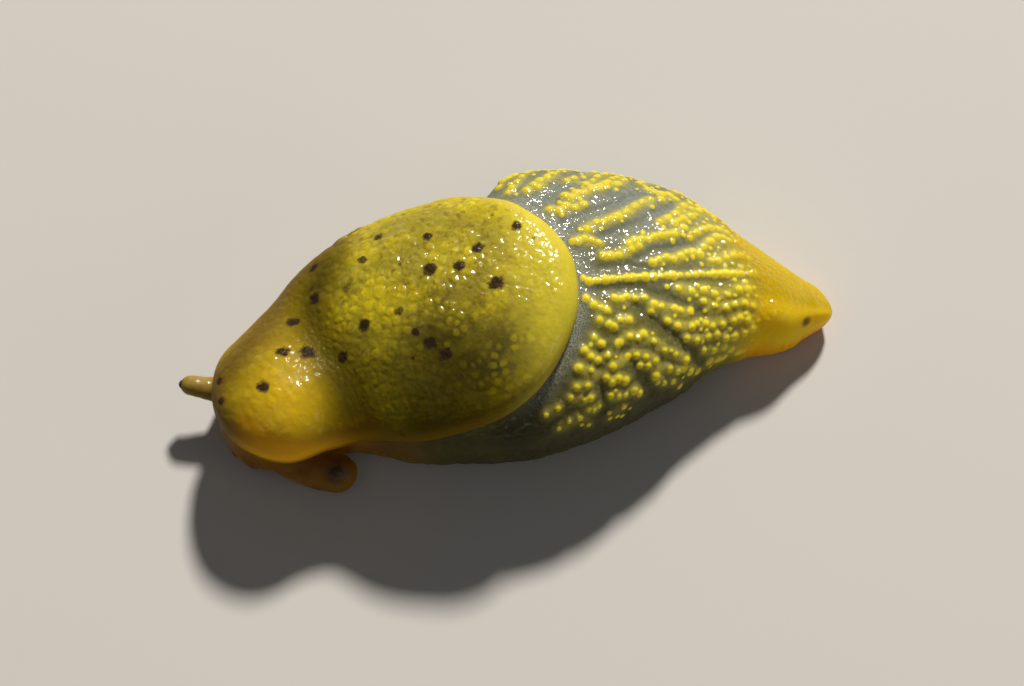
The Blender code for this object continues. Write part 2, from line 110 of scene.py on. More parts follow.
DIP_WIDTH = 2.3
TAIL_FLOW = (9.5, 15.0)

# Mantle margin as (x, degrees round the body) from the rear tip along the left side
MANTLE_MARGIN = (
    (3.1, 3.0), (2.8, -11.0), (1.6, -26.0), (-0.3, -40.0), (-2.7, -50.5), (-5.8, -56.0),
    (-9.0, -57.0), (-12.0, -64.0), (-14.3, -62.0), (-16.3, -54.0), (-17.8, -40.0),
    (-18.55, -15.0), (-18.7, 14.0), (-18.1, 44.0), (-16.0, 66.0), (-13.2, 77.0),
    (-9.5, 82.0), (-6.0, 84.0), (-3.3, 78.0), (-1.7, 61.0), (-0.6, 46.0), (0.6, 35.0),
    (2.0, 24.0), (2.9, 13.0),
)
MANTLE_MIDDLE = (-7.5, 0.0)
MARGIN_INSET = 0.985
UNDERSIDE_SHARES = (0.97, 0.9, 0.7, 0.4)
MANTLE_HEIGHT = 1.3
MANTLE_LIP = 0.5
MANTLE_ROUNDING = 1.1
MANTLE_RIM_DROP = 0.1
MANTLE_RIM_WIDTH = 1.7
# The breathing hole as x and degrees round the body, and its half sizes
BREATHING_HOLE_AT = (-9.4, 70.0)
BREATHING_HOLE_SIZE = (0.62, 0.42, 0.42)
COBBLE_SIZE = 0.6
COBBLE_HEIGHT = 0.062
GRAIN_HEIGHT = 0.026
# The front lobe's middle and that of its painted light patch as pixels, its radius and its height
FRONT_LOBE = (278, 408)
LOBE_LIGHT_MIDDLE = (288, 432)
FRONT_LOBE_RADIUS = 2.9
FRONT_LOBE_HEIGHT = 0.6

# Upper tentacles, and each eye as its tentacle's path and radii, its direction and its radius
RIGHT_TENTACLE_PATH = ((-17.4, 0.1, 2.75), (-19.2, 0.35, 2.85), (-20.3, 0.65, 2.95), (-20.95, 0.82, 3.0))
RIGHT_TENTACLE_RADII = (1.15, 0.86, 0.68, 0.62)
RIGHT_EYE_DIRECTION = tuple(np.subtract(RIGHT_TENTACLE_PATH[-1], RIGHT_TENTACLE_PATH[-2]))
RIGHT_EYE_RADIUS = 0.3
LEFT_TENTACLE_PATH = ((-16.2, -4.0, 2.5), (-15.0, -4.7, 2.45), (-13.8, -5.35, 2.35), (-12.6, -5.85, 2.3))
LEFT_TENTACLE_RADII = (1.25, 1.3, 1.38, 1.3)
LEFT_EYE_RADIUS = 0.48
LEFT_EYE_DIRECTION = (0.03, -0.32, 0.95)
EYES = {
    "right": (RIGHT_TENTACLE_PATH, RIGHT_TENTACLE_RADII, RIGHT_EYE_DIRECTION, RIGHT_EYE_RADIUS),
    "left": (LEFT_TENTACLE_PATH, LEFT_TENTACLE_RADII, LEFT_EYE_DIRECTION, LEFT_EYE_RADIUS),
}
EYE_SUNK = 0.62

# The mouth, its lips and the two lower tentacles
HEAD_MIDDLE = (-16.0, -1.8, 2.2)
MOUTH_DIRECTION = (-0.70, -0.71, -0.04)
MOUTH_SIZE = (0.6, 1.15, 0.13)
MOUTH_OFFSET = (-0.08, 0.0, -0.02)
LIPS = (
    ((-0.6, 0.0, 0.42), (0.62, 1.3, 0.42)),
    ((-0.55, -0.55, -0.42), (0.58, 0.72, 0.4)),
    ((-0.55, 0.55, -0.42), (0.58, 0.72, 0.4)),
)
LOWER_TENTACLES = ((-0.92, -0.22, -0.33), (-0.28, -0.9, -0.33))
LOWER_TENTACLE_RADIUS = 0.4
LOWER_TENTACLE_LENGTH = 0.62

# Mesh spacing, numbers of rings, rows and spokes, and rounds of evening out
BODY_FINE = 0.085
BODY_COARSE = 0.22
BODY_SPOKES = 400
SOLE_STEPS = 150
LIP_ROWS = 9
MANTLE_SPOKES = 720
MANTLE_RINGS = 165
SMOOTHING_ROUNDS = 40

# Relief of the back, from an x backwards and to an angle on either side, and its tubercles
BACK_FRONT_X = -4.5
BACK_SIDES = 125.0
TUBERCLE_SEED = 21
TUBERCLE_RADIUS = 0.26
TUBERCLE_HEIGHT = 0.13
KEEL_START = 0.2
KEEL_PITCH = 0.5
STREWN_TRIES = 1250
STREWN_GAP = 0.4
RIDGE_HEIGHT = 0.09
RIDGE_WIDTH = 0.5
CREASE_DEPTH = 0.11
CREASE_WIDTH = 0.3
LINE_REACH = 2.6

# The keel's row as pixels along it
KEEL_LINE = (
    (580, 278), (588, 281), (600, 281), (620, 279), (640, 277), (662, 276), (690, 275), (720, 274),
    (757, 274),
)
# Rows beside the keel as the pixels of their tubercles, first those on the far side
TUBERCLE_ROWS = (
    ((604, 256), (611, 256), (618, 255), (631, 250), (638, 246)),
    ((572, 243), (578, 241), (584, 239), (591, 241), (598, 243)),
    ((629, 244), (635, 241), (641, 240), (648, 239), (654, 237),
     (661, 236), (667, 235), (673, 234), (684, 228)),
    ((587, 229), (596, 223), (603, 222), (610, 219), (618, 216),
     (626, 212), (634, 206), (642, 203), (650, 200)),
    ((549, 209), (560, 211), (566, 206), (574, 208), (583, 205)),
    ((565, 196), (571, 198), (577, 193), (584, 193), (592, 188),
     (599, 187), (606, 184), (617, 184), (624, 181)),
    ((527, 190), (533, 185), (540, 181), (547, 179), (554, 175)),
    ((499, 188), (503, 182), (509, 179), (515, 176)),
    ((567, 181), (575, 178), (586, 184), (597, 177), (605, 175), (613, 175)),
    ((648, 190), (655, 193), (662, 195), (669, 196), (676, 200)),
    ((660, 222), (668, 219), (676, 214), (684, 206), (690, 204), (697, 207)),
    ((674, 224), (683, 219), (691, 216), (699, 211), (706, 213), (713, 218)),
    ((652, 262), (658, 260), (666, 257), (673, 259), (680, 256), (686, 252), (693, 252), (700, 254)),
    ((690, 238), (697, 233), (704, 229), (711, 228), (718, 229), (726, 233)),
    ((703, 247), (710, 241), (716, 237), (723, 238), (729, 241), (736, 243)),
    ((711, 261), (718, 261), (727, 258), (734, 256), (741, 256), (748, 259)),
    ((615, 297), (621, 299), (627, 297), (635, 298), (645, 297)),
    ((678, 288), (691, 291), (703, 290), (715, 295), (728, 295), (738, 290), (748, 289)),
    ((585, 299), (593, 305), (601, 308), (607, 310)),
    ((651, 311), (653, 304), (661, 307), (675, 309), (680, 311), (690, 311)),
    ((704, 302), (714, 306), (725, 308), (734, 305), (744, 304), (752, 306)),
    ((600, 320), (609, 325), (613, 327)),
    ((621, 320), (629, 320)),
    ((667, 322), (676, 326), (691, 327), (696, 324), (705, 324), (712, 326), (722, 324)),
    ((594, 338), (602, 344)),
    ((619, 343), (629, 336), (638, 337), (643, 335), (653, 341), (664, 351), (674, 354), (685, 360)),
    ((585, 350), (591, 357), (599, 361), (607, 356)),
    ((613, 366), (628, 357), (636, 355), (645, 357), (656, 361)),
    ((640, 366), (648, 366), (669, 369), (677, 371), (683, 368), (690, 371), (697, 371)),
    ((686, 339), (697, 340), (708, 337), (716, 334), (725, 338), (735, 336)),
    ((703, 350), (713, 350), (723, 346), (731, 349), (738, 352)),
    ((709, 361), (718, 359), (724, 357)),
    ((733, 321), (740, 318), (748, 320), (753, 329), (744, 333)),
    ((578, 368), (606, 378), (612, 382), (618, 378), (626, 381)),
    ((655, 376), (664, 383), (672, 381), (679, 385)),
    ((577, 388), (588, 386)),
    ((611, 396), (619, 396), (625, 395), (634, 391), (640, 393)),
    ((571, 398), (585, 400), (590, 399)),
    ((588, 409), (594, 410), (600, 407)),
    ((546, 415), (558, 409)),
    ((559, 428), (580, 418), (589, 424)),
    ((610, 418), (624, 406)),
)
# Grooves and creases as pixels along them
CREASES = (
    ((604, 322), (603, 345), (600, 370), (603, 395), (602, 412)),
    ((612, 332), (624, 350), (640, 372), (652, 394)),
    ((636, 306), (656, 322), (682, 343), (702, 362)),
    ((600, 238), (618, 231), (640, 223), (657, 213), (672, 206)),
    ((636, 258), (660, 250), (690, 244), (712, 232)),
    ((553, 230), (583, 215), (612, 204), (642, 193)),
    ((542, 198), (562, 187), (590, 176)),
    ((600, 268), (630, 264), (650, 268)),
    ((600, 290), (640, 288), (672, 299), (700, 313)),
)
# Rows of tubercles low on the far flank, out of sight: how many, and their pitch along the body
HIDDEN_ROWS = 7
HIDDEN_ROW_PITCH = 1.9

# Dark spots of the mantle that the photograph shows, as pixel u, v and radius in pixels, and strength
SPOTS = (
    (314, 268, 4.0, 1.0), (312, 289, 3.0, 0.5), (314, 298, 5.0, 1.0), (293, 322, 5.0, 1.0),
    (283, 351, 5.0, 1.0), (307, 352, 6.5, 1.0), (343, 357, 5.0, 1.0), (263, 387, 5.0, 1.0),
    (220, 381, 4.0, 0.9), (220, 401, 3.5, 0.8), (347, 288, 4.5, 0.45), (362, 260, 4.0, 0.85),
    (378, 237, 4.0, 0.9), (428, 236, 4.3, 1.0), (477, 248, 5.0, 1.0), (516, 226, 4.3, 1.0),
    (429, 269, 5.5, 1.0), (459, 266, 4.5, 1.0), (496, 283, 6.0, 1.0), (364, 325, 5.5, 1.0),
    (399, 311, 4.0, 0.7), (415, 332, 3.5, 0.95), (430, 343, 5.3, 1.0), (445, 355, 5.3, 1.0),
    (413, 358, 1.5, 0.9), (483, 304, 4.0, 0.3), (493, 214, 2.0, 0.4), (402, 435, 3.0, 0.35),
    (534, 238, 2.0, 0.4), (400, 265, 1.5, 0.6),
)
# Spots out of the photograph's sight, on the mantle's far side, as x and degrees round the body
FAR_SPOTS = ((-15.4, 66.0), (-13.2, 75.0), (-11.2, 77.0), (-7.4, 80.0), (-5.2, 74.0), (-3.2, 77.0))
FAR_SPOT_RADIUS = 0.3
SPOT_SPREAD = 1.15
TAIL_SPOT = (806, 322, 6.5)
MARK_STEP = 6.0
# Painted shade in the dip behind the front lobe and along the front edge, the dome's mottling with painted
# shade, the amber fold under the lobe with painted light, and where the painted near-side shade is weaker, as
# name, width in mm and pixels along it
MARKED_LINES = (
    ("saddle_shade", 1.7, ((328, 264), (310, 298), (314, 330), (332, 362), (345, 390), (352, 410))),
    ("dome_shade", 2.3, ((440, 330), (456, 364), (490, 368), (510, 350))),
    ("front_edge_shade", 1.9, ((332, 244), (290, 285), (262, 325), (232, 362), (213, 385), (216, 415), (226, 432))),
    ("lit_amber_fold", 1.5, ((244, 438), (264, 450), (300, 458), (336, 446), (362, 434))),
    ("weaker_near_shade", 1.6, ((356, 340), (370, 376), (388, 412))),
)

# Where a point of the joined skin comes from
FROM_BODY, FROM_SOLE, FROM_MANTLE, FROM_PART, FROM_SLIT = range(5)

# Lights as name, azimuth and elevation in degrees, distance and size in mm, power in watts and colour
LIGHTS = (
    ("key", 157.0, 41.0, 1200.0, 143.0, 19.2, (1.0, 0.96, 0.88)),
    ("fill", -30.0, 65.0, 500.0, 420.0, 0.08, (0.95, 0.97, 1.0)),
    ("bounce", 60.0, 22.0, 500.0, 250.0, 0.2, (1.0, 0.9, 0.75)),
)
# Half the floor's side in metres, its colour and roughness, and the even light's colour and strength
FLOOR_HALF = 0.6
FLOOR_COLOUR = (0.62, 0.60, 0.57, 1)
FLOOR_ROUGHNESS = 0.8
WORLD_COLOUR = (0.9, 0.94, 1.0, 1)
WORLD_STRENGTH = 0.06


def smooth_value(at, places, values):
    """Smooth curve through values given at rising places."""
    slopes = np.gradient(values, places)
    slopes[1:-1] = (values[2:] - values[:-2]) / (places[2:] - places[:-2])
    cell = np.clip(np.searchsorted(places, at) - 1, 0, len(places) - 2)
    width = places[cell + 1] - places[cell]
    t = np.clip((at - places[cell]) / width, 0.0, 1.0)
    start = (1 + 2 * t) * (1 - t) ** 2 * values[cell] + t * (1 - t) ** 2 * width * slopes[cell]
    end = t * t * (3 - 2 * t) * values[cell + 1] + t * t * (t - 1) * width * slopes[cell + 1]
    return start + end


def ramp(value, low, high):
    """0 below low, 1 above high and smooth between."""
    t = np.clip((value - low) / (high - low), 0.0, 1.0)
    return t * t * (3 - 2 * t)


def away_from(points, place):
    """How far points are from a place, or from one place each."""
    return np.linalg.norm(points - place, axis=1)


def station_values(along):
    """Keel y, left y, right y, keel height, widest height and sole half width at x."""
    table = np.array(STATIONS)
    return [smooth_value(along, table[:, 0], table[:, column]) for column in range(1, 7)]


def end_rounding(along):
    """1 along the body, falling to 0 on a blunt curve at the nose and a quarter circle at the tail."""
    nose = np.clip((NOSE_X + NOSE_ROUND - along) / NOSE_ROUND, 0.0, 1.0)
    tail = np.clip((along - TAIL_X + TAIL_ROUND) / TAIL_ROUND, 0.0, 1.0)
    return (1.0 - nose ** NOSE_BLUNTNESS) ** (1 / NOSE_BLUNTNESS) * np.sqrt(1.0 - tail ** 2)


def dip(x, y):
    """Depth of the slanting dip between the hood and the dome."""
    start = np.array(DIP_RIGHT)
    run = np.array(DIP_LEFT) - start
    off_line = ((x - start[0]) * run[1] - (y - start[1]) * run[0]) / np.hypot(*run)
    return DIP_DEPTH * np.exp(-(off_line / DIP_WIDTH) ** 2)


def skin(along, around):
    """Points of the body's plain skin at x and at radians round it from the keel."""
    along, around = np.broadcast_arrays(np.asarray(along, float), np.asarray(around, float))
    keel, left, right, height, widest, foot = station_values(along)
    size = end_rounding(along)
    side = np.where(around >= 0, 1.0, -1.0)
    reach = np.where(around >= 0, right - keel, left - keel) * size
    middle = (left + right) / 2 - keel
    edge = (middle + side * foot) * size
    below = np.clip(np.abs(around) - math.pi / 2, 0.0, math.pi / 2)
    above = np.minimum(np.abs(around), math.pi / 2)
    y_above = keel + reach * np.sin(above)
    rise = (height - widest) * size - dip(along, y_above) * size
    z_above = widest + rise * np.cos(above)
    y_below = keel + edge + (reach - edge) * np.cos(below)
    z_below = widest - (widest - BODY_FLOOR) * size * np.sin(below)
    lower = np.abs(around) > math.pi / 2
    return np.stack([along, np.where(lower, y_below, y_above), np.where(lower, z_below, z_above)], -1)


def skin_normal(along, around, step=0.02):
    """Unit normals of the plain skin, facing out."""
    ahead = skin(along + step, around) - skin(along - step, around)
    turn = skin(along, around + step) - skin(along, around - step)
    normal = np.cross(ahead, turn)
    return normal / np.maximum(np.linalg.norm(normal, axis=-1, keepdims=True), 1e-9)


def across(points):
    """How far points lie to the side: -1 at the body's left edge, 0 over the keel and 1 at its right."""
    keel, left, right, _, _, _ = station_values(points[:, 0])
    off = points[:, 1] - keel
    return np.where(off > 0, off / (right - keel), off / (keel - left))


def lattice_value(cells, salt):
    """A repeatable number from 0 to 1 for each whole-numbered lattice cell."""
    mixed = salt * 974634777
    for axis, factor in enumerate((374761393, 668265263, 2147483647)):
        mixed = mixed + cells[..., axis] * factor
    mixed = (mixed ^ (mixed >> 13)) * 1274126177
    mixed = mixed ^ (mixed >> 16)
    return (mixed & 0xFFFFF) / float(0xFFFFF)


def soft_noise(points, scale, salt=0):
    """Smooth noise from -1 to 1 over points, with features of about scale."""
    spot = points / scale
    base = np.floor(spot).astype(np.int64)
    part = spot - base
    part = part * part * (3 - 2 * part)
    total = np.zeros(len(points))
    for corner in range(8):
        offset = np.array([(corner >> axis) & 1 for axis in range(3)])
        weight = np.prod(np.where(offset == 1, part, 1 - part), axis=1)
        total += weight * lattice_value(base + offset, salt)
    return total * 2 - 1


def cell_distances(points, scale, salt=0):
    """Distances to the nearest and second nearest of scattered seeds, in units of scale."""
    spot = points / scale
    base = np.floor(spot).astype(np.int64)
    nearest = second = np.full(len(points), 9.0)
    for offset in np.ndindex(3, 3, 3):
        cell = base + np.array(offset) - 1
        seed = cell + np.stack([lattice_value(cell, salt + 7 * axis + 1) for axis in range(3)], -1)
        away = away_from(seed, spot)
        second = np.minimum(second, np.maximum(nearest, away))
        nearest = np.minimum(nearest, away)
    return nearest, second


def tree_of(points):
    """A search tree over points."""
    tree = KDTree(len(points))
    for index, point in enumerate(points):
        tree.insert(point, index)
    tree.balance()
    return tree


def toward(azimuth, elevation):
    """Unit direction at an azimuth and elevation in degrees."""
    turn, tilt = math.radians(azimuth), math.radians(elevation)
    return np.array([math.sin(turn) * math.cos(tilt), -math.cos(turn) * math.cos(tilt), math.sin(tilt)])


def view_axes():
    """The camera's place and its right, up and back directions."""
    turn = math.radians(CAMERA_AZIMUTH)
    back = toward(CAMERA_AZIMUTH, CAMERA_ELEVATION)
    right = np.array([math.cos(turn), math.sin(turn), 0.0])
    return np.array(CAMERA_AIM) + back * CAMERA_DISTANCE, right, np.cross(back, right), back


def to_pixels(points):
    """Where points fall in the photograph, in its pixels."""
    eye, right, up, back = view_axes()
    away = points - eye
    depth = -(away @ back)
    focal = LENS / SENSOR * PHOTO_WIDTH
    u = PHOTO_WIDTH / 2 + focal * (away @ right) / depth
    v = PHOTO_HEIGHT / 2 - focal * (away @ up) / depth
    return np.stack([u, v], -1)


def under_pixel(points, normals, pixel):
    """The point that faces the camera and falls nearest to a pixel."""
    off = away_from(to_pixels(points), pixel)
    off[np.einsum("ij,ij->i", view_axes()[0] - points, normals) <= 0] = 1e9
    return points[np.argmin(off)]


def mantle_margin(spokes):
    """Points of the mantle's margin in the skin's (x, radians), evenly along it."""
    marks = np.array(MANTLE_MARGIN + MANTLE_MARGIN[:1])
    marks[:, 1] = np.radians(marks[:, 1])
    places = np.linspace(0, 1, len(marks))
    wrapped = np.concatenate([marks[-3:-1], marks, marks[1:3]])
    spacing = places[1]
    longer = np.concatenate([places[:2] - 2 * spacing, places, places[-2:] + 2 * spacing])
    at = np.arange(spokes) / spokes
    return np.stack([smooth_value(at, longer, wrapped[:, axis]) for axis in range(2)], -1)


def margin_frame():
    """The mantle's margin in the skin's (x, radians), its points, and unit directions out across it."""
    margin = mantle_margin(MANTLE_SPOKES)
    middle = np.array(MANTLE_MIDDLE)
    inner = middle + MARGIN_INSET * (margin - middle)
    edge = skin(*margin.T)
    outward = edge - skin(*inner.T)
    return margin, edge, outward / np.linalg.norm(outward, axis=1, keepdims=True)


def distance_behind_margin(points):
    """Distance of skin points from the mantle's margin, above 0 outside it."""
    _, edge, outward = margin_frame()
    tree = tree_of(edge)
    result = np.zeros(len(points))
    for index, point in enumerate(points):
        _, nearest, away = tree.find(point)
        result[index] = away if np.dot(point - edge[nearest], outward[nearest]) > 0 else -away
    return result


def closed_faces(rows, count):
    """Faces of a closed skin over rows of count points, followed by one pole for each end."""
    row, spoke = np.meshgrid(np.arange(rows - 1), np.arange(count), indexing="ij")
    first, second = row * count + spoke, row * count + (spoke + 1) % count
    faces = np.stack([first, second, second + count, first + count], -1).reshape(-1, 4).tolist()
    last = (rows - 1) * count
    for spoke in range(count):
        following = (spoke + 1) % count
        faces.append((following, spoke, last + count))
        faces.append((last + spoke, last + following, last + count + 1))
    return faces


def add_object(name, data):
    """A new object in the scene."""
    item = bpy.data.objects.new(name, data)
    bpy.context.scene.collection.objects.link(item)
    return item


def mesh_object(name, points, faces, material_index=0):
    """An object from points in mm, its faces turned outward."""
    mesh = bpy.data.meshes.new(name)
    mesh.from_pydata((np.asarray(points) * MM).tolist(), [], faces)
    work = bmesh.new()
    work.from_mesh(mesh)
    bmesh.ops.recalc_face_normals(work, faces=work.faces)
    if work.calc_volume(signed=True) < 0:
        bmesh.ops.reverse_faces(work, faces=work.faces)
    for face in work.faces:
        face.material_index = material_index
        face.smooth = True
    work.to_mesh(mesh)
    work.free()
    return add_object(name, mesh)


def hidden_rows():
    """Tubercles on the far flank, out of the photograph's sight, as (x, radians)."""
    draw = random.Random(TUBERCLE_SEED + 4)
    rows = []
    for row in range(HIDDEN_ROWS):
        x = 0.3 + row * HIDDEN_ROW_PITCH
        degrees = 52.0 + draw.uniform(-4, 4)
        places = []
        while degrees < 98 and x < 15.5:
            if draw.random() > 0.12 + 0.3 * (degrees - 52) / 46:
                places.append((x, math.radians(degrees + draw.uniform(-1.5, 1.5))))
            x += draw.uniform(0.25, 0.42)
            degrees += draw.uniform(3.4, 5.4)
        rows.append(places)
    return rows


def travelled(line):
    """Distance along a bent line to each of its points."""
    return np.concatenate([[0], np.cumsum(np.linalg.norm(np.diff(line, axis=0), axis=1))])


def places_on(line, at):
    """Points of a bent line at distances along it."""
    return np.stack([np.interp(at, travelled(line), column) for column in line.T], -1)


def along_line(pixels, step=2.0):
    """Pixels evenly along a bent line."""
    line = np.array(pixels, float)
    length = travelled(line)[-1]
    return places_on(line, np.linspace(0, length, max(2, int(length / step) + 1)))


def distances(points, marks, reach):
    """Rows of the points in the box around marks, and how far these are from the nearest mark."""
    tree = tree_of(marks)
    close = np.where(((points > marks.min(0) - reach) & (points < marks.max(0) + reach)).all(1))[0]
    return close, np.array([tree.find(points[row])[2] for row in close])


def closeness(points, line, width):
    """1 on a line of points, falling away from it over a width."""
    close, away = distances(points, line, LINE_REACH * width)
    result = np.zeros(len(points))
    result[close] = np.exp(-(away / width) ** 2)
    return result


def back_relief(points, normals, along, around):
    """Distance behind the mantle, height over the plain skin, and masks of tubercle, groove and ridge."""
    behind = distance_behind_margin(points)
    region = np.where((along > BACK_FRONT_X) & (np.abs(around) < math.radians(BACK_SIDES)))[0]
    local, x, turned, gone = points[region], along[region], around[region], behind[region]
    seen = np.where(np.einsum("ij,ij->i", view_axes()[0] - local, normals[region]) > 0)[0]
    shown = to_pixels(local[seen])

    def under(pixels):
        """Skin points under pixels."""
        return np.array([local[seen[np.argmin(((shown - pixel) ** 2).sum(1))]] for pixel in pixels])

    draw = random.Random(TUBERCLE_SEED)
    beads = []
    keel_line = under(along_line(KEEL_LINE))
    ridge = closeness(local, keel_line, RIDGE_WIDTH * 0.6)
    at = KEEL_START
    while at < travelled(keel_line)[-1]:
        larger = 1.2 - 0.12 * min(1.0, at / 4.0)
        beads.append((places_on(keel_line, at), draw.uniform(0.75, 1.25) * larger))
        at += KEEL_PITCH * draw.uniform(0.8, 1.15)
    for pixels in TUBERCLE_ROWS:
        for place, (_, v) in zip(under(pixels), pixels):
            beads.append((place, draw.uniform(0.84, 1.26) * (1 - 0.3 * ramp(v, 380, 412))))
        ridge = np.maximum(ridge, closeness(local, under(along_line(pixels)), RIDGE_WIDTH))
    for places in hidden_rows():
        if len(places) < 2:
            continue
        chart = np.array(places).T
        beads += [(place, draw.uniform(0.8, 1.1)) for place in skin(*chart)]
        share = np.linspace(0, len(places) - 1, 6 * len(places))
        line = skin(*[np.interp(share, np.arange(len(places)), column) for column in chart])
        ridge = np.maximum(ridge, closeness(local, line, RIDGE_WIDTH))
    crease = np.max([closeness(local, under(along_line(pixels)), CREASE_WIDTH) for pixels in CREASES], axis=0)
    strew = random.Random(TUBERCLE_SEED + 9)
    within = np.where((gone > 0.9) & (x < 14.8) & (np.abs(turned) < 1.4))[0]
    taken = np.array([place for place, _ in beads])
    for _ in range(STREWN_TRIES):
        row = within[strew.randrange(len(within))]
        place = local[row]
        rear, nearer = ramp(place[0], 6.0, 12.0), ramp(-place[1], -2.5, 0.5)
        wanted = max(0.85 * ridge[row], rear) * (1 - 0.45 * nearer) - 1.2 * crease[row]
        if strew.random() > wanted or np.min(((taken - place) ** 2).sum(1)) < STREWN_GAP ** 2:
            continue
        beads.append((place, strew.uniform(0.5, 0.85)))
        taken = np.concatenate([taken, [place]])
    knobs = np.zeros(len(local))
    tree = tree_of(local)
    for place, size in beads:
        radius = TUBERCLE_RADIUS * size
        near = tree.find_range(place, radius * 2.0)
        if near:
            rows = [row for _, row, _ in near]
            away = np.array([gap for _, _, gap in near]) / radius
            knobs[rows] = np.maximum(knobs[rows], np.exp(-(away / 0.9) ** 2.3) * (0.7 + 0.3 * size))
    edge = ramp(gone, 0.5, 1.3) * ramp(x, BACK_FRONT_X, -1.0)
    before_tail = 1 - ramp(x, 13.5, 15.7)
    high = 1 - ramp(np.abs(turned), math.radians(80), math.radians(115))
    knobs *= ramp(gone, 0.55, 0.8)
    lift = RIDGE_HEIGHT * (ridge - 0.45) * edge * high * before_tail
    lift -= CREASE_DEPTH * crease * edge * before_tail
    lift += (0.07 * soft_noise(local, 2.4, 5) + 0.03 * soft_noise(local, 1.0, 6)) * edge
    flatter = 1 - 0.45 * ramp(-turned, 0.4, 1.5)
    lift += TUBERCLE_HEIGHT * knobs * flatter * (1 - 0.8 * ramp(x, 13.5, 15.7))
    low_ground = np.clip(1 - 1.25 * ridge + 0.7 * crease, 0, 1) * edge * high
    fields = np.zeros((4, len(points)))
    fields[:, region] = lift, knobs, low_ground, ridge * edge
    return behind, *fields


def make_body():
    """The body's skin in rings, its points, and masks of knob, groove, nearness to the mantle and ridge."""
    share = 1.0 - np.cos(np.linspace(0.06, 1.0, 22) * math.pi / 2)
    places = list(NOSE_X + NOSE_ROUND * share)
    while places[-1] < TAIL_X - TAIL_ROUND:
        fine = ramp(places[-1], -5.5, -1.0)
        places.append(places[-1] + BODY_COARSE + (BODY_FINE - BODY_COARSE) * fine)
    turn = np.sin(np.linspace(0.0, 0.97, 26)[1:] * math.pi / 2)
    places += list(places[-1] + (TAIL_X - places[-1]) * turn)
    around = np.linspace(-math.pi, math.pi, BODY_SPOKES + 1)[:-1]
    along, angle = (grid.ravel() for grid in np.meshgrid(places, around, indexing="ij"))
    plain, normal = skin(along, angle), skin_normal(along, angle)
    behind, height, knobs, groove, ridge = back_relief(plain, normal, along, angle)
    down = np.abs(angle)
    flank = ramp(down, math.radians(60), math.radians(95))
    flank = flank * (1 - ramp(down, math.radians(150), math.radians(170)))
    folds = np.abs(soft_noise(plain * np.array([1.0, 0.35, 0.35]), 0.75, 8))
    height += flank * (0.04 - 0.10 * (1 - folds) ** 3)
    grain = 0.5 - cell_distances(plain, 0.34, 11)[0]
    before_tail = 1 - ramp(along, 15.0, 17.0)
    height += (0.016 + 0.026 * groove) * grain * before_tail * (1 - 0.8 * knobs)
    height += 0.014 * soft_noise(plain, 0.23, 12) * before_tail
    size = end_rounding(along)
    height *= size ** 0.5
    points = plain + normal * height[:, None]
    at_tail = ramp(along, *TAIL_FLOW)
    sinking = np.sin(np.clip(down - math.pi / 2, 0.0, math.pi / 2)) * size * at_tail
    points[:, 1] += 0.3 * np.sign(angle) * sinking * np.abs(np.cos(angle)) ** 0.5
    points[:, 2] -= (BODY_FLOOR - 0.3) * sinking
    points[:, 2] = np.maximum(points[:, 2], 0.9 - 0.65 * at_tail)
    poles = []
    for x in (NOSE_X, TAIL_X):
        keel, _, _, _, widest, _ = station_values(np.array(x))
        poles.append([x, keel, widest])
    points = np.concatenate([points, poles])
    near_rear = ramp(along, -3.0, 0.5) * (behind > 0) * (1 - ramp(behind, 0.4, 2.0))
    masks = np.zeros((4, len(points)))
    masks[:, :-2] = knobs, groove, near_rear, ridge
    return mesh_object("skin", points, closed_faces(len(places), BODY_SPOKES)), points, masks


def make_foot():
    """The sole: a flat-bottomed slab under the whole body, its rim a soft scalloped fringe."""
    share = (1 - np.cos(np.linspace(0, math.pi, SOLE_STEPS + 1))) / 2
    along = FOOT_FRONT_X + (FOOT_BACK_X - FOOT_FRONT_X) * share
    _, left, right, _, _, foot = station_values(along)
    middle = (left + right) / 2
    front = np.clip((FOOT_FRONT_X + FOOT_END_ROUND - along) / FOOT_END_ROUND, 0, 1)
    back = np.clip((along - FOOT_BACK_X + FOOT_END_ROUND) / FOOT_END_ROUND, 0, 1)
    half = (foot + FOOT_FRINGE) * np.sqrt(1 - front ** 2) * np.sqrt(1 - back ** 2)
    right_side, left_side = np.stack([along, middle + half], -1), np.stack([along, middle - half], -1)
    outline = np.concatenate([right_side, left_side[-2:0:-1]])
    centre = np.array([(FOOT_FRONT_X + FOOT_BACK_X) / 2, middle.mean()])
    flat = np.concatenate([outline, np.full((len(outline), 1), 0.5)], 1)
    scallop = (0.05 * soft_noise(flat, 0.8, 15) + 0.03 * soft_noise(flat, 0.35, 16))[:, None]
    out = outline - centre
    length = np.maximum(np.linalg.norm(out, axis=1, keepdims=True), 1.0)
    rings = []
    for height, inset in SOLE_PROFILE:
        shrunk = centre + out * (1 - (inset - scallop) / length)
        rings.append(np.concatenate([shrunk, np.full((len(shrunk), 1), height)], 1))
    points = np.concatenate(rings + [[[*centre, height] for height in (0.0, SOLE_PROFILE[-1][0])]])
    return mesh_object("foot_slab", points, closed_faces(len(rings), len(outline))), points


def mantle_height(depth):
    """Height of the mantle over the skin at a depth in from its margin."""
    rim = np.clip(depth / MANTLE_ROUNDING, 0.0, 1.0)
    rounded = np.sqrt(1.0 - (1.0 - rim) ** 2)
    swell = 1 - MANTLE_RIM_DROP * (1 - ramp(depth, 0.3, MANTLE_RIM_WIDTH))
    return MANTLE_HEIGHT * rounded * swell


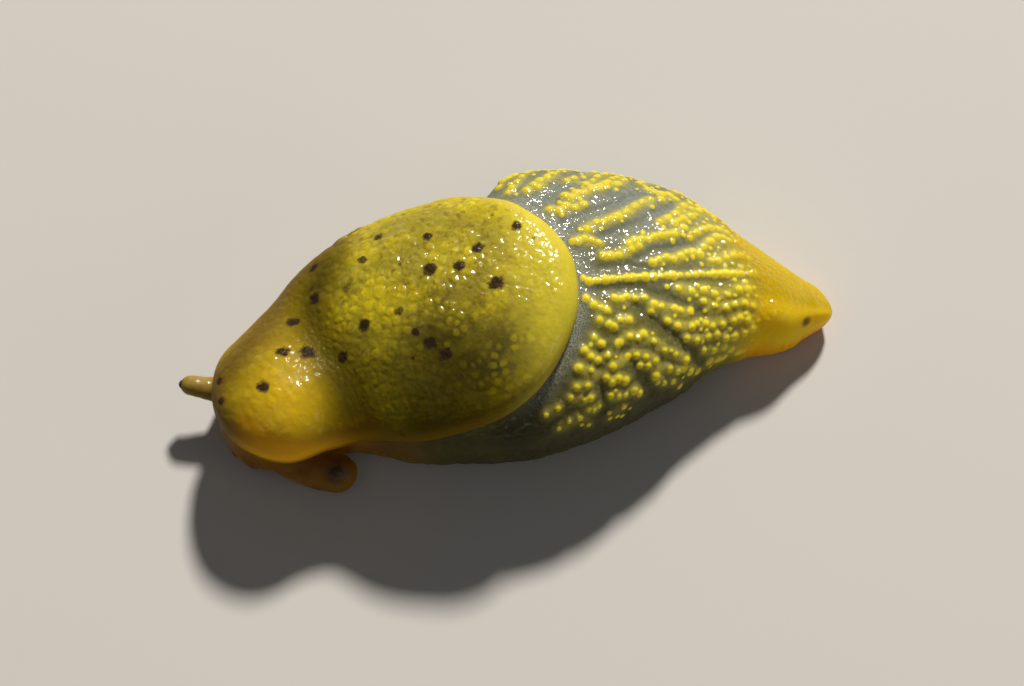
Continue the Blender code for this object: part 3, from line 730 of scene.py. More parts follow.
def make_mantle():
    """The mantle with its free margin, relief and breathing hole, and masks of cobble, depth and hole."""
    margin, edge, outward = margin_frame()
    middle = np.array(MANTLE_MIDDLE)
    shares = np.linspace(0, 1, MANTLE_RINGS + 1)[1:]
    chart = np.concatenate([middle + share * (margin - middle) for share in shares])
    plain, normal = skin(*chart.T), skin_normal(*chart.T)
    tree = tree_of(edge + outward * MANTLE_LIP)
    depth = np.array([tree.find(point)[2] for point in plain])
    near, second = cell_distances(plain, COBBLE_SIZE, 31)
    fine_near = cell_distances(plain, 0.5 * COBBLE_SIZE, 37)[0]
    cobbles = 0.4 * ramp(second - near, 0.0, 0.55) + 0.6 * np.exp(-(near / 0.52) ** 2)
    grains = np.exp(-(fine_near / 0.46) ** 2) - 0.5
    x, to_left = chart[:, 0], -across(plain)
    toward_left = ramp(to_left, -0.15, 0.55) * ramp(x, -14.0, -10.0)
    steep_front = ramp(to_left, 0.1, 0.6) * (1 - ramp(x, -13.0, -10.0))
    coarse = (1 - 0.7 * ramp(x, -5.0, 1.5)) * (1 - 0.75 * toward_left) * (1 - 0.8 * steep_front)
    coarse *= 0.6 + 0.4 * ramp(x, -13.5, -10.5)
    relief = COBBLE_HEIGHT * coarse * (cobbles - 0.5)
    relief += GRAIN_HEIGHT * (1 - 0.5 * toward_left) * (1 - 0.8 * steep_front) * grains
    relief += 0.045 * soft_noise(plain, 2.6, 33) + 0.02 * soft_noise(plain, 0.9, 34)
    lift = mantle_height(depth) + relief * (0.25 + 0.75 * ramp(depth, 0.3, 1.8))
    from_lobe = away_from(plain, under_pixel(plain, normal, FRONT_LOBE)) / FRONT_LOBE_RADIUS
    lift += FRONT_LOBE_HEIGHT * np.exp(-from_lobe ** 2) * ramp(depth, 0.0, 1.2)
    hole = skin(BREATHING_HOLE_AT[0], math.radians(BREATHING_HOLE_AT[1]))
    from_hole = np.linalg.norm((plain - hole) / np.array(BREATHING_HOLE_SIZE), axis=1)
    lift += 0.12 * np.exp(-((from_hole - 1.35) / 0.5) ** 2) - 0.75 * (1 - ramp(from_hole, 0.35, 1.15))
    rows = [plain + normal * lift[:, None]]
    last, last_normal = plain[-MANTLE_SPOKES:], skin_normal(*margin.T)
    carried = lift[-MANTLE_SPOKES:] - mantle_height(depth[-MANTLE_SPOKES:])
    for step in range(1, LIP_ROWS + 1):
        out = MANTLE_LIP * math.sin(math.pi / 2 * step / LIP_ROWS)
        up = mantle_height(MANTLE_LIP - out) if step < LIP_ROWS else -0.1
        up = up + carried * (1 - step / LIP_ROWS)
        rows.append(last + outward * out + last_normal * up[:, None])
    rows.append(last + last_normal * -0.35 + outward * 0.2)
    for share in UNDERSIDE_SHARES:
        place = (middle + share * (margin - middle)).T
        rows.append(skin(*place) - 0.5 * skin_normal(*place))
    pole, up = skin(*middle), skin_normal(*middle)
    faces = closed_faces(MANTLE_RINGS + len(rows) - 1, MANTLE_SPOKES)
    points = np.concatenate(rows + [[pole + MANTLE_HEIGHT * up, pole - 0.6 * up]])
    masks = np.array([cobbles, depth, 1 - ramp(from_hole, 0.5, 1.1)])
    return mesh_object("mantle_shell", points, faces, 1), points, masks


def facing(direction):
    """Matrix whose first axis is direction, second is level and third is up."""
    first = Vector(direction).normalized()
    second = Vector((0, 0, 1)).cross(first).normalized()
    third = first.cross(second)
    return np.array(Matrix((first, second, third)).transposed())


def ellipsoid(name, middle, sizes, turn, segments=40, rings=28):
    """A finely divided ellipsoid of the given half sizes, turned by a 3x3 matrix."""
    tilt = np.pi * np.arange(1, rings) / rings
    turning = 2 * np.pi * np.arange(segments) / segments
    tilt, turning = np.meshgrid(tilt, turning, indexing="ij")
    unit = np.stack([np.sin(tilt) * np.cos(turning), np.sin(tilt) * np.sin(turning), np.cos(tilt)], -1)
    unit = np.concatenate([unit.reshape(-1, 3), [[0, 0, 1], [0, 0, -1]]])
    points = np.array(middle) + (unit * np.array(sizes)) @ turn.T
    return mesh_object(name, points, closed_faces(rings - 1, segments))


def tube(name, path, radii, wrinkle, rows=70, segments=64):
    """A tapered tube along a bent path with a round end and faint rings of wrinkles."""
    path, radii = np.array(path, float), np.array(radii, float)
    places = np.linspace(0.0, 1.0, len(path))
    share = np.linspace(0.0, 1.0, rows)
    spine = np.stack([smooth_value(share, places, column) for column in path.T], -1)
    width = smooth_value(share, places, radii)
    heading = np.gradient(spine, axis=0)
    heading /= np.linalg.norm(heading, axis=1, keepdims=True)
    width = width * (1 + wrinkle * np.sin(travelled(spine) * 2 * np.pi / 0.62) * (1 - share))
    turning = 2 * np.pi * np.arange(segments) / segments
    around = np.stack([np.zeros(segments), np.cos(turning), np.sin(turning)], -1)
    rings = [point + radius * around @ facing(ahead).T for point, ahead, radius in zip(spine, heading, width)]
    tip, ahead, radius = spine[-1], heading[-1], width[-1]
    for angle in np.linspace(0, 1, 15)[1:-1] * math.pi / 2:
        middle = tip + ahead * radius * math.sin(angle)
        rings.append(middle + radius * math.cos(angle) * around @ facing(ahead).T)
    points = np.concatenate(rings + [[spine[0], tip + ahead * radius]])
    return mesh_object(name, points, closed_faces(len(rings), segments))


def combine(item, others, operation):
    """Join an object with others, or cut it by them, and remove them."""
    holder = bpy.data.collections.new(operation.lower())
    bpy.context.scene.collection.children.link(holder)
    for other in others:
        bpy.context.scene.collection.objects.unlink(other)
        holder.objects.link(other)
    change = item.modifiers.new(operation.lower(), "BOOLEAN")
    change.operation = operation
    change.solver = "MANIFOLD"
    change.operand_type = "COLLECTION"
    change.collection = holder
    bpy.context.view_layer.update()
    graph = bpy.context.evaluated_depsgraph_get()
    made = bpy.data.meshes.new_from_object(item.evaluated_get(graph), depsgraph=graph)
    item.modifiers.clear()
    item.data = made
    for other in list(holder.objects):
        bpy.data.objects.remove(other, do_unlink=True)
    bpy.data.collections.remove(holder)


def read_mesh(items, name, width, kind):
    """A value of each of a mesh's items, as rows of width numbers."""
    flat = np.zeros(len(items) * width, kind)
    items.foreach_get(name, flat)
    return flat.reshape(-1, width)


def mesh_points(item):
    """An object's points in mm."""
    return read_mesh(item.data.vertices, "co", 3, float) / MM


def mesh_normals(item):
    """An object's point normals."""
    return read_mesh(item.data.vertex_normals, "vector", 3, np.float32).astype(float)


def move_points(item, points):
    """Give an object's mesh new places in mm."""
    item.data.vertices.foreach_set("co", (points * MM).ravel())
    item.data.update()


def mesh_edges(item):
    """Pairs of point numbers."""
    return read_mesh(item.data.edges, "vertices", 2, np.int32).astype(np.int64)


def smooth_where(points, edges, weight, rounds):
    """Even out points among their neighbours by a weight from 0 to 1."""
    count = len(points)
    ends = np.concatenate([edges[:, 0], edges[:, 1]])
    others = np.concatenate([edges[:, 1], edges[:, 0]])
    moving = weight[ends] > 1e-3
    ends, others = ends[moving], others[moving]
    number = np.maximum(np.bincount(ends, minlength=count), 1)
    for _ in range(rounds):
        sums = [np.bincount(ends, weights=column, minlength=count) for column in points[others].T]
        mean = np.stack(sums, -1) / number[:, None]
        points = np.where(weight[:, None] > 1e-3, points + weight[:, None] * 0.6 * (mean - points), points)
    return points


def near_junction(points, edges, first, second, reach):
    """1 where two groups of points meet, falling to 0 at a reach from there."""
    meeting = (first[edges[:, 0]] & second[edges[:, 1]]) | (first[edges[:, 1]] & second[edges[:, 0]])
    marked = np.unique(edges[meeting].ravel())
    weight = np.zeros(len(points))
    if len(marked):
        close, away = distances(points, points[marked], reach)
        weight[close] = 1 - ramp(away, reach * 0.3, reach)
    return weight


def eye_middle(path, radii, direction, radius):
    """Middle of an eye sunk in the end of a tentacle."""
    looking = np.array(direction) / np.linalg.norm(direction)
    return np.array(path[-1]) + looking * (radii[-1] - EYE_SUNK * radius), looking


def on_head(body, direction):
    """Where a line from the middle of the head leaves the body, and the line's unit direction."""
    hit = body.ray_cast(Vector(HEAD_MIDDLE) * MM, Vector(direction).normalized())
    return np.array(hit[1]) / MM, np.array(direction) / np.linalg.norm(direction)


def make_skin():
    """One skin from all the flesh, its meeting places evened out, with the materials' masks."""
    body, body_points, body_masks = make_body()
    slab, slab_points = make_foot()
    shell, shell_points, mantle_masks = make_mantle()
    turn = facing(MOUTH_DIRECTION)
    mouth, mouth_out = on_head(body, MOUTH_DIRECTION)
    head_parts = [ellipsoid("lip", mouth + turn @ np.array(offset), size, turn) for offset, size in LIPS]
    for direction in LOWER_TENTACLES:
        root, out = on_head(body, direction)
        path = [root - out * 0.6, root, root + out * (LOWER_TENTACLE_LENGTH - LOWER_TENTACLE_RADIUS)]
        radii = [LOWER_TENTACLE_RADIUS * widening for widening in (1.35, 1.12, 1.0)]
        head_parts.append(tube("lower_feeler", path, radii, 0.0, rows=16, segments=32))
    head_parts.append(tube("right_feeler", RIGHT_TENTACLE_PATH, RIGHT_TENTACLE_RADII, 0.02))
    head_parts.append(tube("left_feeler", LEFT_TENTACLE_PATH, LEFT_TENTACLE_RADII, 0.012))
    part_points = np.concatenate([mesh_points(part) for part in head_parts])
    combine(body, head_parts + [slab, shell], "UNION")
    slit = ellipsoid("slit", mouth + turn @ np.array(MOUTH_OFFSET), MOUTH_SIZE, turn)
    groups = [body_points, slab_points, shell_points, part_points, mesh_points(slit)]
    combine(body, [slit], "DIFFERENCE")
    points = mesh_points(body)
    tree = tree_of(np.concatenate(groups))
    rows = np.array([tree.find(point)[1] for point in points])
    kind = np.repeat(np.arange(len(groups)), [len(group) for group in groups])[rows]
    edges = mesh_edges(body)
    flesh, sole, rear = kind == FROM_BODY, kind == FROM_SOLE, ramp(points[:, 0], 11.0, 15.0)
    weight = np.zeros(len(points))
    for strength, first, second, reach in (
        (1.0, kind >= FROM_PART, flesh, 1.1), (0.8, sole, flesh, 0.35), (rear, sole, flesh, 1.2),
        (0.5, kind == FROM_SLIT, kind == FROM_PART, 0.15),
    ):
        weight = np.maximum(weight, strength * near_junction(points, edges, first, second, reach))
    weight[(kind == FROM_MANTLE) | (points[:, 2] < 0.02)] = 0.0
    points = smooth_where(points, edges, weight, SMOOTHING_ROUNDS)
    move_points(body, points)
    normals = mesh_normals(body)
    head = (kind != FROM_MANTLE) & (kind != FROM_SOLE)
    head = head * (1 - ramp(points[:, 0], -14.0, -8.0))
    ring = points - mouth
    flat = ring - (ring @ mouth_out)[:, None] * mouth_out
    spoke = np.arctan2(flat @ turn[:, 2], flat @ turn[:, 1])
    puckers = np.cos(spoke * 13 + 2.0 * soft_noise(points, 1.3, 51))
    lift = 0.022 * puckers * np.exp(-((np.linalg.norm(ring, axis=1) - 1.1) / 0.7) ** 2)
    near_cell = cell_distances(points, 0.42, 53)[0]
    lift += 0.03 * (0.5 - near_cell) + 0.05 * soft_noise(points * np.array([1.0, 0.5, 0.8]), 0.9, 54)
    points = points + normals * (lift * head)[:, None]
    points[:, 2] = np.maximum(points[:, 2], 0.0)
    move_points(body, points)
    body.data.materials.clear()
    body.data.materials.append(flesh_material())
    body.data.materials.append(mantle_material())
    paint(body, points, kind, rows, body_masks, mantle_masks, len(body_points) + len(slab_points))
    return body


def spot_mask(points, normals, top, is_mantle):
    """The dark spots of the mantle and of the tail."""
    ragged = 0.3 * soft_noise(points, 0.34, 61) + 0.18 * soft_noise(points, 0.17, 62)
    marks = []
    for u, v, radius, strength in SPOTS:
        place = under_pixel(points[top], normals[top], (u, v))
        marks.append((place, SPOT_SPREAD * radius / PIXELS_PER_MM, strength))
    for x, degrees in FAR_SPOTS:
        around = math.radians(degrees)
        marks.append((skin(x, around) + MANTLE_HEIGHT * skin_normal(x, around), FAR_SPOT_RADIUS, 1.0))
    spot = np.zeros(len(points))
    for place, radius, strength in marks:
        away = away_from(points, place) / radius + ragged
        spot = np.maximum(spot, strength * (1 - ramp(away, 0.5, 1.5)))
    spot[~is_mantle] = 0
    u, v, radius = TAIL_SPOT
    on_tail = points[:, 0] > 15
    place = under_pixel(points[on_tail], normals[on_tail], (u, v))
    away = away_from(points, place) / (radius / PIXELS_PER_MM)
    return np.maximum(spot, np.where(on_tail, 0.85 * (1 - ramp(away, 0.3, 1.3)), 0))


def paint(item, points, kind, rows, body_masks, mantle_masks, before_mantle):
    """Store the masks that the materials read, and set the faces' materials."""
    is_body, is_mantle = kind == FROM_BODY, kind == FROM_MANTLE
    knob, groove, behind, ridge = np.where(is_body, body_masks[:, np.where(is_body, rows, 0)], 0.0)
    shell_row = rows - before_mantle
    top = is_mantle & (shell_row >= 0) & (shell_row < mantle_masks.shape[1])
    cobble, depth, hole = np.where(top, mantle_masks[:, np.where(top, shell_row, 0)], 0.0)
    normals = mesh_normals(item)
    x, side = points[:, 0], across(points)
    shade = np.zeros(len(points))
    for eye, near, far in (("left", 0.4, 1.05), ("right", 0.25, 0.5)):
        shade = np.maximum(shade, 1 - ramp(away_from(points, eye_middle(*EYES[eye])[0]), near, far))
    lean = 0.8 * ramp(-side, 0.2, 1.0) + 0.3 * ramp(side, 0.3, 1.0)
    tail = ramp(x + lean + 0.5 * soft_noise(points, 1.2, 64), 13.2, 15.7)
    uneven = points[:, 2] / station_values(x)[3] + 0.08 * soft_noise(points, 1.5, 65)
    lines = {}
    for name, width, pixels in MARKED_LINES:
        line = [under_pixel(points[top], normals[top], pixel) for pixel in along_line(pixels, MARK_STEP)]
        lines[name] = closeness(points, np.array(line), width)
    # near_side carries painted shade on the mantle's near side and painted light on the tail's near side
    near_side = ramp(-side, -0.3, 0.95) * (1 - 0.5 * lines.pop("weaker_near_shade"))
    on_dome = ramp(x, -14.5, -8.5) * (1 - 0.75 * ramp(x, -5.0, 0.5))
    # Low on the near flank and under the mantle's edge: painted shade
    flank = ramp(-side, 0.55, 0.95) * (1 - ramp(x, -1.0, 4.0))
    lower = ramp(-side, 0.82, 1.0) * (1 - ramp(x, 8.0, 12.5))
    from_lobe = away_from(points, under_pixel(points[top], normals[top], LOBE_LIGHT_MIDDLE))
    masks = {
        "knob": knob, "groove": groove, "behind": behind, "ridge": ridge,
        "cobble": cobble, "inward": np.clip(depth / 4.0, 0, 1), "hole": hole, **lines,
        "near_side": near_side ** 0.8 * np.where(is_mantle, on_dome, 1),
        "flank": np.maximum(flank, lower), "far_edge": ramp(side, 0.72, 0.98),
        "tail_near": ramp(x, 9.0, 14.5), "lobe_light_patch": np.exp(-(from_lobe / 3.4) ** 2),
        "rear": ramp(x, -2.0, 2.0), "upward": ramp(normals[:, 2], 0.55, 0.88),
        "feeler": ramp(-x, 18.9, 20.0) * (kind == FROM_PART),
        "spot": spot_mask(points, normals, top, is_mantle), "shade": shade, "tail": tail,
        "under": 1 - ramp(uneven - 0.22 * tail, -0.05, 0.68),
        "head": 1 - ramp(x + 0.8 * soft_noise(points, 2.0, 66), -11.5, -5.5),
        "front": 1 - ramp(x + 0.6 * soft_noise(points, 2.0, 67), -14.5, -9.5),
        "far_side": ramp(points[:, 1], -2.0, 8.0),
    }
    for name, values in masks.items():
        layer = item.data.attributes.new(name, "FLOAT", "POINT")
        layer.data.foreach_set("value", np.asarray(values, np.float32))
    corners = read_mesh(item.data.loops, "vertex_index", 1, np.int32).ravel()
    starts = read_mesh(item.data.polygons, "loop_start", 1, np.int32)
    on_mantle = is_mantle[corners[starts + np.arange(3)]].all(1)
    item.data.polygons.foreach_set("material_index", on_mantle.astype(np.int32))
    item.data.polygons.foreach_set("use_smooth", np.ones(len(on_mantle), bool))


class Nodes:
    """A short way of writing a material's nodes. A string stands for the mask that has its name."""

    def __init__(self, name):
        self.material = bpy.data.materials.new(name)
        self.material.use_nodes = True
        self.tree = self.material.node_tree
        self.shader = self.tree.nodes["Principled BSDF"]
        self.place = self.add("TexCoord").outputs["Object"]
        self.shader.inputs["Specular IOR Level"].default_value = 0.35
        self.shader.inputs["Subsurface Scale"].default_value = 0.6 * MM

    def add(self, kind, values=None, **settings):
        """A node with settings, and its sockets' values or links."""
        item = self.tree.nodes.new("ShaderNode" + kind)
        for key, value in settings.items():
            setattr(item, key, value)
        for socket, value in (values or {}).items():
            self.feed(item.inputs[socket], value)
        return item

    def feed(self, socket, value):
        """Link a socket to another or to a mask, or set its value."""
        if isinstance(value, str):
            value = self.add("Attribute", attribute_name=value).outputs["Fac"]
        if isinstance(value, bpy.types.NodeSocket):
            self.tree.links.new(value, socket)
        elif isinstance(value, tuple) and socket.type == "RGBA":
            socket.default_value = (*value, 1.0)
        else:
            socket.default_value = value

    def noise(self, size, detail=3.0, roughness=0.55):
        """Noise with features of about size mm."""
        values = {"Vector": self.place, "Scale": 1.0 / (size * MM), "Detail": detail, "Roughness": roughness}
        return self.add("TexNoise", values).outputs["Fac"]

    def cells(self, size):
        """Softened distance to scattered points size mm apart."""
        values = {"Vector": self.place, "Scale": 1.0 / (size * MM)}
        return self.add("TexVoronoi", values, feature="SMOOTH_F1").outputs["Distance"]

    def math(self, operation, first, second, clamp=False):
        """A number worked out from two."""
        return self.add("Math", {0: first, 1: second}, operation=operation, use_clamp=clamp).outputs[0]

    def times(self, result, *others):
        """Numbers multiplied one after another."""
        for other in others:
            result = self.math("MULTIPLY", result, other)
        return result

    def span(self, value, low, high, to_low=0.0, to_high=1.0):
        """A number's range turned into another, kept within it."""
        values = {"Value": value, "From Min": low, "From Max": high, "To Min": to_low, "To Max": to_high}
        return self.add("MapRange", values, interpolation_type="SMOOTHSTEP").outputs["Result"]

    def fade(self, value, to_low, to_high):
        """The range from 0 to 1 turned into another."""
        return self.span(value, 0.0, 1.0, to_low, to_high)

    def mix(self, amount, first, second):
        """Two colours mixed by an amount."""
        values = {"Factor": amount, 6: first, 7: second}
        return self.add("Mix", values, data_type="RGBA", blend_type="MIX").outputs[2]

    def over(self, colour, *covers):
        """A colour covered by others in turn, each with the amounts that are multiplied for it."""
        for top, *amounts in covers:
            colour = self.mix(self.times(*amounts), colour, top)
        return colour

    def bump(self, height, distance, strength=1.0, **under):
        """A bump from a height of up to distance mm."""
        values = {"Strength": strength, "Distance": distance * MM, "Height": height, **under}
        return self.add("Bump", values).outputs["Normal"]

    def moist(self, **values):
        """A wet, slightly see-through finish with the shader's values, their names' spaces as underlines."""
        values = {"Subsurface_Weight": 0.3, "Coat_Roughness": 0.2, **values}
        values.update(IOR=1.33, Subsurface_Radius=(1.0, 0.5, 0.12), Coat_IOR=1.5)
        for name, value in values.items():
            self.feed(self.shader.inputs[name.replace("_", " ")], value)
        return self.material


def flesh_material():
    """Grey-olive back with yellow tubercles, orange-brown head and yellow tail, with painted light and shade.
    """
    n = Nodes("flesh_skin")
    broad, fine, speck = n.noise(2.4), n.noise(0.16, 2.0, 0.6), n.noise(0.085, 1.0)
    olive = n.mix(n.span(broad, 0.35, 0.65), (0.25, 0.215, 0.022), (0.37, 0.32, 0.04))
    ridge = n.mix(fine, (0.42, 0.37, 0.05), (0.56, 0.48, 0.07))
    # Darker grey on the near side: painted shade
    near_grey = n.mix(fine, (0.080, 0.076, 0.016), (0.145, 0.135, 0.030))
    far_grey = n.mix(fine, (0.11, 0.135, 0.125), (0.22, 0.25, 0.235))
    groove = n.math("ADD", "groove", n.span(broad, 0.45, 0.7, 0.0, 0.25), True)
    frost = n.mix(n.span(speck, 0.42, 0.62), (0.11, 0.12, 0.105), (0.40, 0.42, 0.40))
    near_yellow = n.mix(fine, (0.76, 0.61, 0.010), (0.92, 0.78, 0.03))
    far_yellow = n.mix(fine, (0.60, 0.48, 0.012), (0.76, 0.63, 0.03))
    back = n.over(
        n.mix(n.span("ridge", 0.25, 0.9), olive, ridge),
        ((0.54, 0.45, 0.035), n.span("ridge", 0.7, 1.0), n.span("far_side", 0.0, 0.6, 0.25, 0.8)),
        ((0.50, 0.40, 0.025), "tail_near", 0.65),
        (n.mix("far_side", near_grey, far_grey), groove, n.fade("tail_near", 1.0, 0.45), 0.85),
        (frost, "behind", 0.8),
        ((0.07, 0.065, 0.035), n.span(speck, 0.54, 0.68, 0.0, 0.3)),
        # Painted shade low on the body, under its widest line
        ((0.026, 0.019, 0.004), n.span("under", 0.0, 0.7, 0.0, 0.94), n.fade("tail_near", 1.0, 0.35)),
        # Painted shade low on the near flank
        ((0.026, 0.022, 0.005), "flank", 0.8),
        ((0.10, 0.10, 0.03), "far_edge", 0.45),
        (n.mix("far_side", near_yellow, far_yellow), n.span("knob", 0.16, 0.62)),
    )
    # The tail is orange low down, and painted lighter on its near side and darker on its far side: painted
    # light and shade
    low_tail = n.mix(n.span("far_side", 0.1, 0.6), (1.0, 0.33, 0.0005), (0.50, 0.28, 0.001))
    tail = n.over(
        n.mix(n.span("near_side", 0.1, 0.8), (0.46, 0.31, 0.001), (1.0, 0.68, 0.002)),
        (low_tail, n.fade("under", 0.0, 0.92)),
        ((0.70, 0.52, 0.008), fine, 0.12),
    )
    head = n.over(
        n.mix(n.span(broad, 0.35, 0.65), (0.205, 0.085, 0.0015), (0.27, 0.122, 0.002)),
        # Painted shade under the head
        ((0.135, 0.056, 0.0015), n.fade("under", 0.0, 0.5)),
        ((0.14, 0.06, 0.004), n.span(fine, 0.5, 0.8, 0.0, 0.35)),
    )
    colour = n.over(
        back, (tail, "tail"), (head, "head"), ((0.30, 0.20, 0.03), "feeler"), ((0.10, 0.06, 0.03), "spot"),
        ((0.085, 0.05, 0.02), "shade", 0.8),
    )
    glow = n.math("MAXIMUM", "tail", n.times("head", 0.5))
    return n.moist(
        Base_Color=colour, Roughness=n.span(n.noise(0.5), 0.3, 0.7, 0.42, 0.6),
        Normal=n.bump(fine, 0.02, 0.4, Normal=n.bump(n.cells(0.2), 0.03, 0.35)),
        Coat_Weight=n.times("upward", n.fade("head", 1.0, 0.3), n.fade("tail", 1.0, 0.75)),
        Coat_Normal=n.bump(n.noise(0.34, 0.0), 0.2, 0.85), Coat_Roughness=0.085,
        Specular_IOR_Level=n.fade("tail", 0.35, 0.2), Subsurface_Weight=n.fade(glow, 0.3, 0.9),
        Subsurface_Scale=n.fade(glow, 0.6 * MM, 1.5 * MM),
    )


def mantle_material():
    """Mustard and olive yellow mantle of small cobbles, with a warmer front, brown spots, painted shade and
    light.
    """
    n = Nodes("mantle_skin")
    broad, middle, fine, speck = n.noise(3.6), n.noise(1.1), n.noise(0.2, 3.0, 0.65), n.noise(0.09, 1.0)
    yellow = n.mix(n.span(middle, 0.35, 0.65), (0.54, 0.42, 0.004), (0.72, 0.57, 0.009))
    olive = n.mix(n.span(fine, 0.3, 0.7), (0.22, 0.185, 0.010), (0.34, 0.28, 0.016))
    warm = n.mix(n.span(middle, 0.3, 0.7), (0.42, 0.27, 0.002), (0.54, 0.37, 0.004))
    blotches = n.noise(0.55, 2.0, 0.6)
    edge = n.span("inward", 0.1, 0.4, 1.0, 0.0)
    edge_colour = n.mix("front", (0.54, 0.42, 0.03), (0.80, 0.42, 0.002))
    lit_amber_fold = n.mix(n.span("lit_amber_fold", 0.2, 0.9), (0.70, 0.36, 0.003), (1.0, 0.48, 0.001))
    patchy = n.times(n.span(middle, 0.3, 0.62, 0.6, 0.95), n.span("cobble", 0.35, 0.85, 1.0, 0.5))
    frayed = n.math("ADD", "spot", n.span(n.noise(0.13, 2.0), 0.25, 0.75, -0.3, 0.3))
    frayed = n.times(n.span(frayed, 0.05, 1.0), n.span("spot", 0.0, 0.35))
    colour = n.over(
        yellow,
        (olive, n.span(broad, 0.38, 0.6), n.span("inward", 0.25, 0.8), 0.8),
        ((0.20, 0.14, 0.014), n.span(fine, 0.5, 0.75, 0.0, 0.35)),
        ((0.22, 0.13, 0.007), n.span(blotches, 0.52, 0.68), n.span(broad, 0.35, 0.6, 0.3, 0.75)),
        (warm, "front", 0.8),
        (edge_colour, edge, 0.75),
        ((0.17, 0.13, 0.014), n.span("cobble", 0.15, 0.65, 1.0, 0.0), n.span(middle, 0.35, 0.65, 0.12, 0.36)),
        ((0.11, 0.09, 0.02), n.span(speck, 0.58, 0.7, 0.0, 0.35)),
        # Painted light: a brighter orange-yellow patch on the front lobe
        ((0.86, 0.54, 0.003), "lobe_light_patch", 0.75),
        # Painted light on the amber fold; painted shade along the front edge, in the dome's mottling and in
        # the dip behind the front lobe
        (lit_amber_fold, n.span("lit_amber_fold", 0.0, 0.75, 0.0, 0.9)),
        ((0.115, 0.062, 0.002), "front_edge_shade", 0.88),
        ((0.065, 0.048, 0.003), "dome_shade", patchy),
        ((0.062, 0.046, 0.003), "saddle_shade", 0.88),
        # Painted shade over the mantle's near side, eased along its margin
        ((0.05, 0.037, 0.002), "near_side", 0.93),
        ((0.20, 0.115, 0.003), n.span("inward", 0.1, 0.5, 1.0, 0.0), "near_side", 0.7),
        (n.mix(fine, (0.62, 0.52, 0.025), (0.80, 0.68, 0.05)), "rear", 0.6),
        ((0.09, 0.045, 0.006), n.span("spot", 0.0, 0.6), 0.5),
        ((0.026, 0.014, 0.009), frayed, n.span("spot", 0.1, 0.9, 0.7, 0.96)),
        # Painted shade in the breathing hole's opening
        ((0.05, 0.035, 0.012), "hole", 0.9),
    )
    wet = n.times(
        "upward", n.span("spot", 0.1, 0.6, 0.9, 0.15), n.span("near_side", 0.15, 0.7, 1.0, 0.25),
        n.span("front_edge_shade", 0.1, 0.8, 1.0, 0.4), n.span("saddle_shade", 0.08, 0.5, 1.0, 0.1),
        n.span(n.math("SUBTRACT", edge, "rear"), 0.2, 0.9, 1.0, 0.4),
        n.math("MAXIMUM", n.span(n.noise(1.4, 2.0), 0.42, 0.6, 0.3, 1.0), "lobe_light_patch"),
    )
    dull = n.math("MAXIMUM", "spot", n.math("MAXIMUM", "saddle_shade", "near_side"))
    return n.moist(
        Base_Color=colour, Roughness=n.span(n.noise(0.6), 0.3, 0.7, 0.48, 0.62),
        Normal=n.bump(fine, 0.02, 0.35, Normal=n.bump(n.cells(0.24), 0.03, 0.3)),
        Coat_Weight=wet, Coat_Normal=n.bump(n.cells(0.3), 0.045, 0.6, Normal=n.bump("cobble", 0.05)),
        Coat_Roughness=0.16, Specular_IOR_Level=n.span(dull, 0.1, 0.7, 0.28, 0.08),
    )


def eye_material():
    """A dark eye seen through thin skin."""
    n = Nodes("eye_dark")
    relief = n.bump(n.noise(0.12, 2.0), 0.008, 0.3)
    return n.moist(
        Base_Color=n.mix(n.noise(0.2, 2.0), (0.06, 0.036, 0.018), (0.095, 0.055, 0.026)),
        Roughness=n.span(n.noise(0.4, 2.0), 0.3, 0.7, 0.4, 0.55), Normal=relief, Coat_Weight=0.15,
        Coat_Normal=relief, Subsurface_Weight=0.15,
    )


def make_eye(name, path, radii, direction, radius, material):
    """One eye bead sunk in the end of its tentacle."""
    middle, looking = eye_middle(path, radii, direction, radius)
    eye = ellipsoid(name, middle, (radius * 0.97, radius, radius * 1.02), facing(looking), 48, 32)
    eye.data.materials.append(material)
    return eye


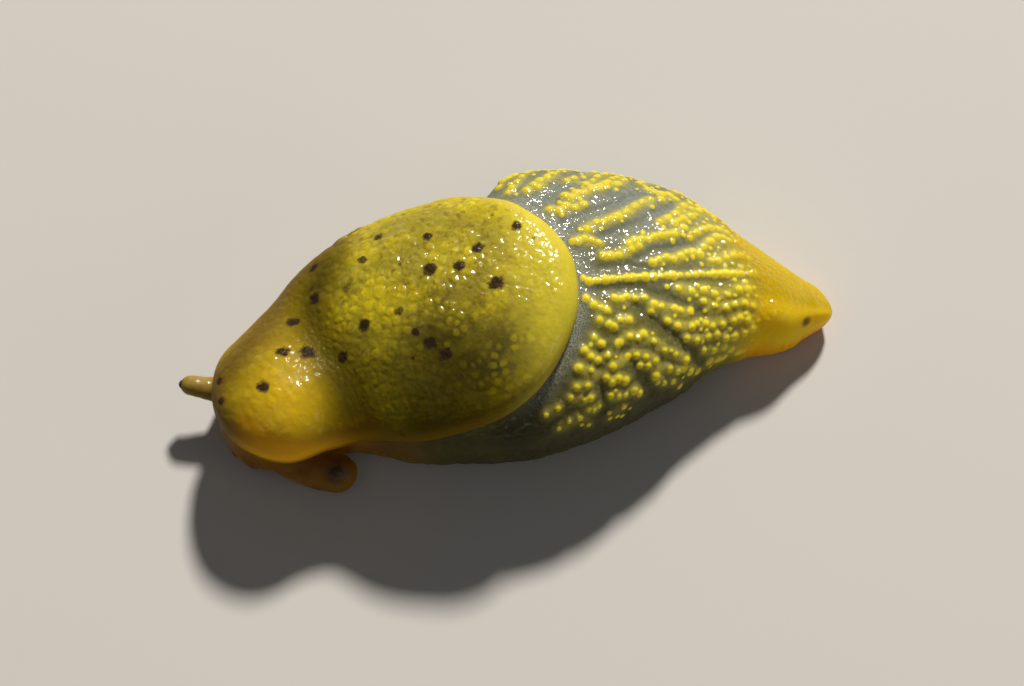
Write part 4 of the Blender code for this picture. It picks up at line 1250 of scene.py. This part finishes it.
def place_camera():
    """The camera at the photograph's viewing angle."""
    eye, right, up, back = view_axes()
    data = bpy.data.cameras.new("camera")
    data.lens = LENS
    data.sensor_width = SENSOR
    data.clip_start = 0.005
    camera = add_object("camera", data)
    turn = Matrix((right, up, back)).transposed()
    camera.matrix_world = Matrix.Translation(Vector(eye) * MM) @ turn.to_4x4()
    bpy.context.scene.camera = camera


def place_light(name, azimuth, elevation, distance, size, power, colour):
    """An area light that looks at the slug from a direction, in degrees and mm."""
    out = Vector(toward(azimuth, elevation))
    data = bpy.data.lights.new(name, "AREA")
    data.shape = "DISK"
    data.size = size * MM
    data.energy = power
    data.color = colour
    light = add_object(name, data)
    light.location = (Vector(CAMERA_AIM) + out * distance) * MM
    light.rotation_euler = out.to_track_quat("Z", "Y").to_euler()


def set_stage():
    """A plain pale floor, a key light from the slug's right, two soft fills and a faint even light."""
    mesh = bpy.data.meshes.new("floor")
    corners = [(x * FLOOR_HALF, y * FLOOR_HALF, 0) for x, y in ((-1, -1), (1, -1), (1, 1), (-1, 1))]
    mesh.from_pydata(corners, [], [(0, 1, 2, 3)])
    floor = add_object("floor", mesh)
    paper = bpy.data.materials.new("pale_floor")
    paper.use_nodes = True
    shader = paper.node_tree.nodes["Principled BSDF"]
    shader.inputs["Base Color"].default_value = FLOOR_COLOUR
    shader.inputs["Roughness"].default_value = FLOOR_ROUGHNESS
    mesh.materials.append(paper)
    for light in LIGHTS:
        place_light(*light)
    world = bpy.data.worlds.new("studio")
    world.use_nodes = True
    background = world.node_tree.nodes["Background"]
    background.inputs["Color"].default_value = WORLD_COLOUR
    background.inputs["Strength"].default_value = WORLD_STRENGTH
    bpy.context.scene.world = world
    bpy.context.scene.view_settings.view_transform = "Standard"


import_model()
place_camera()
flesh = make_skin()
flesh.name = "slug_skin"
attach(flesh, "root")
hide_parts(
    "foot", "head", "neck", "trunk", "back", "tail_tip", "mantle", "tentacle_right", "tentacle_left",
    "lower_tentacle_right", "lower_tentacle_left",
)
dark = eye_material()
right_eye = make_eye("right_eye_bead", *EYES["right"], dark)
left_eye = make_eye("left_eye_bead", *EYES["left"], dark)
for eye, node in ((right_eye, "eye_right"), (left_eye, "eye_left")):
    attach(eye, "root")
    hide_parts(node)
set_stage()
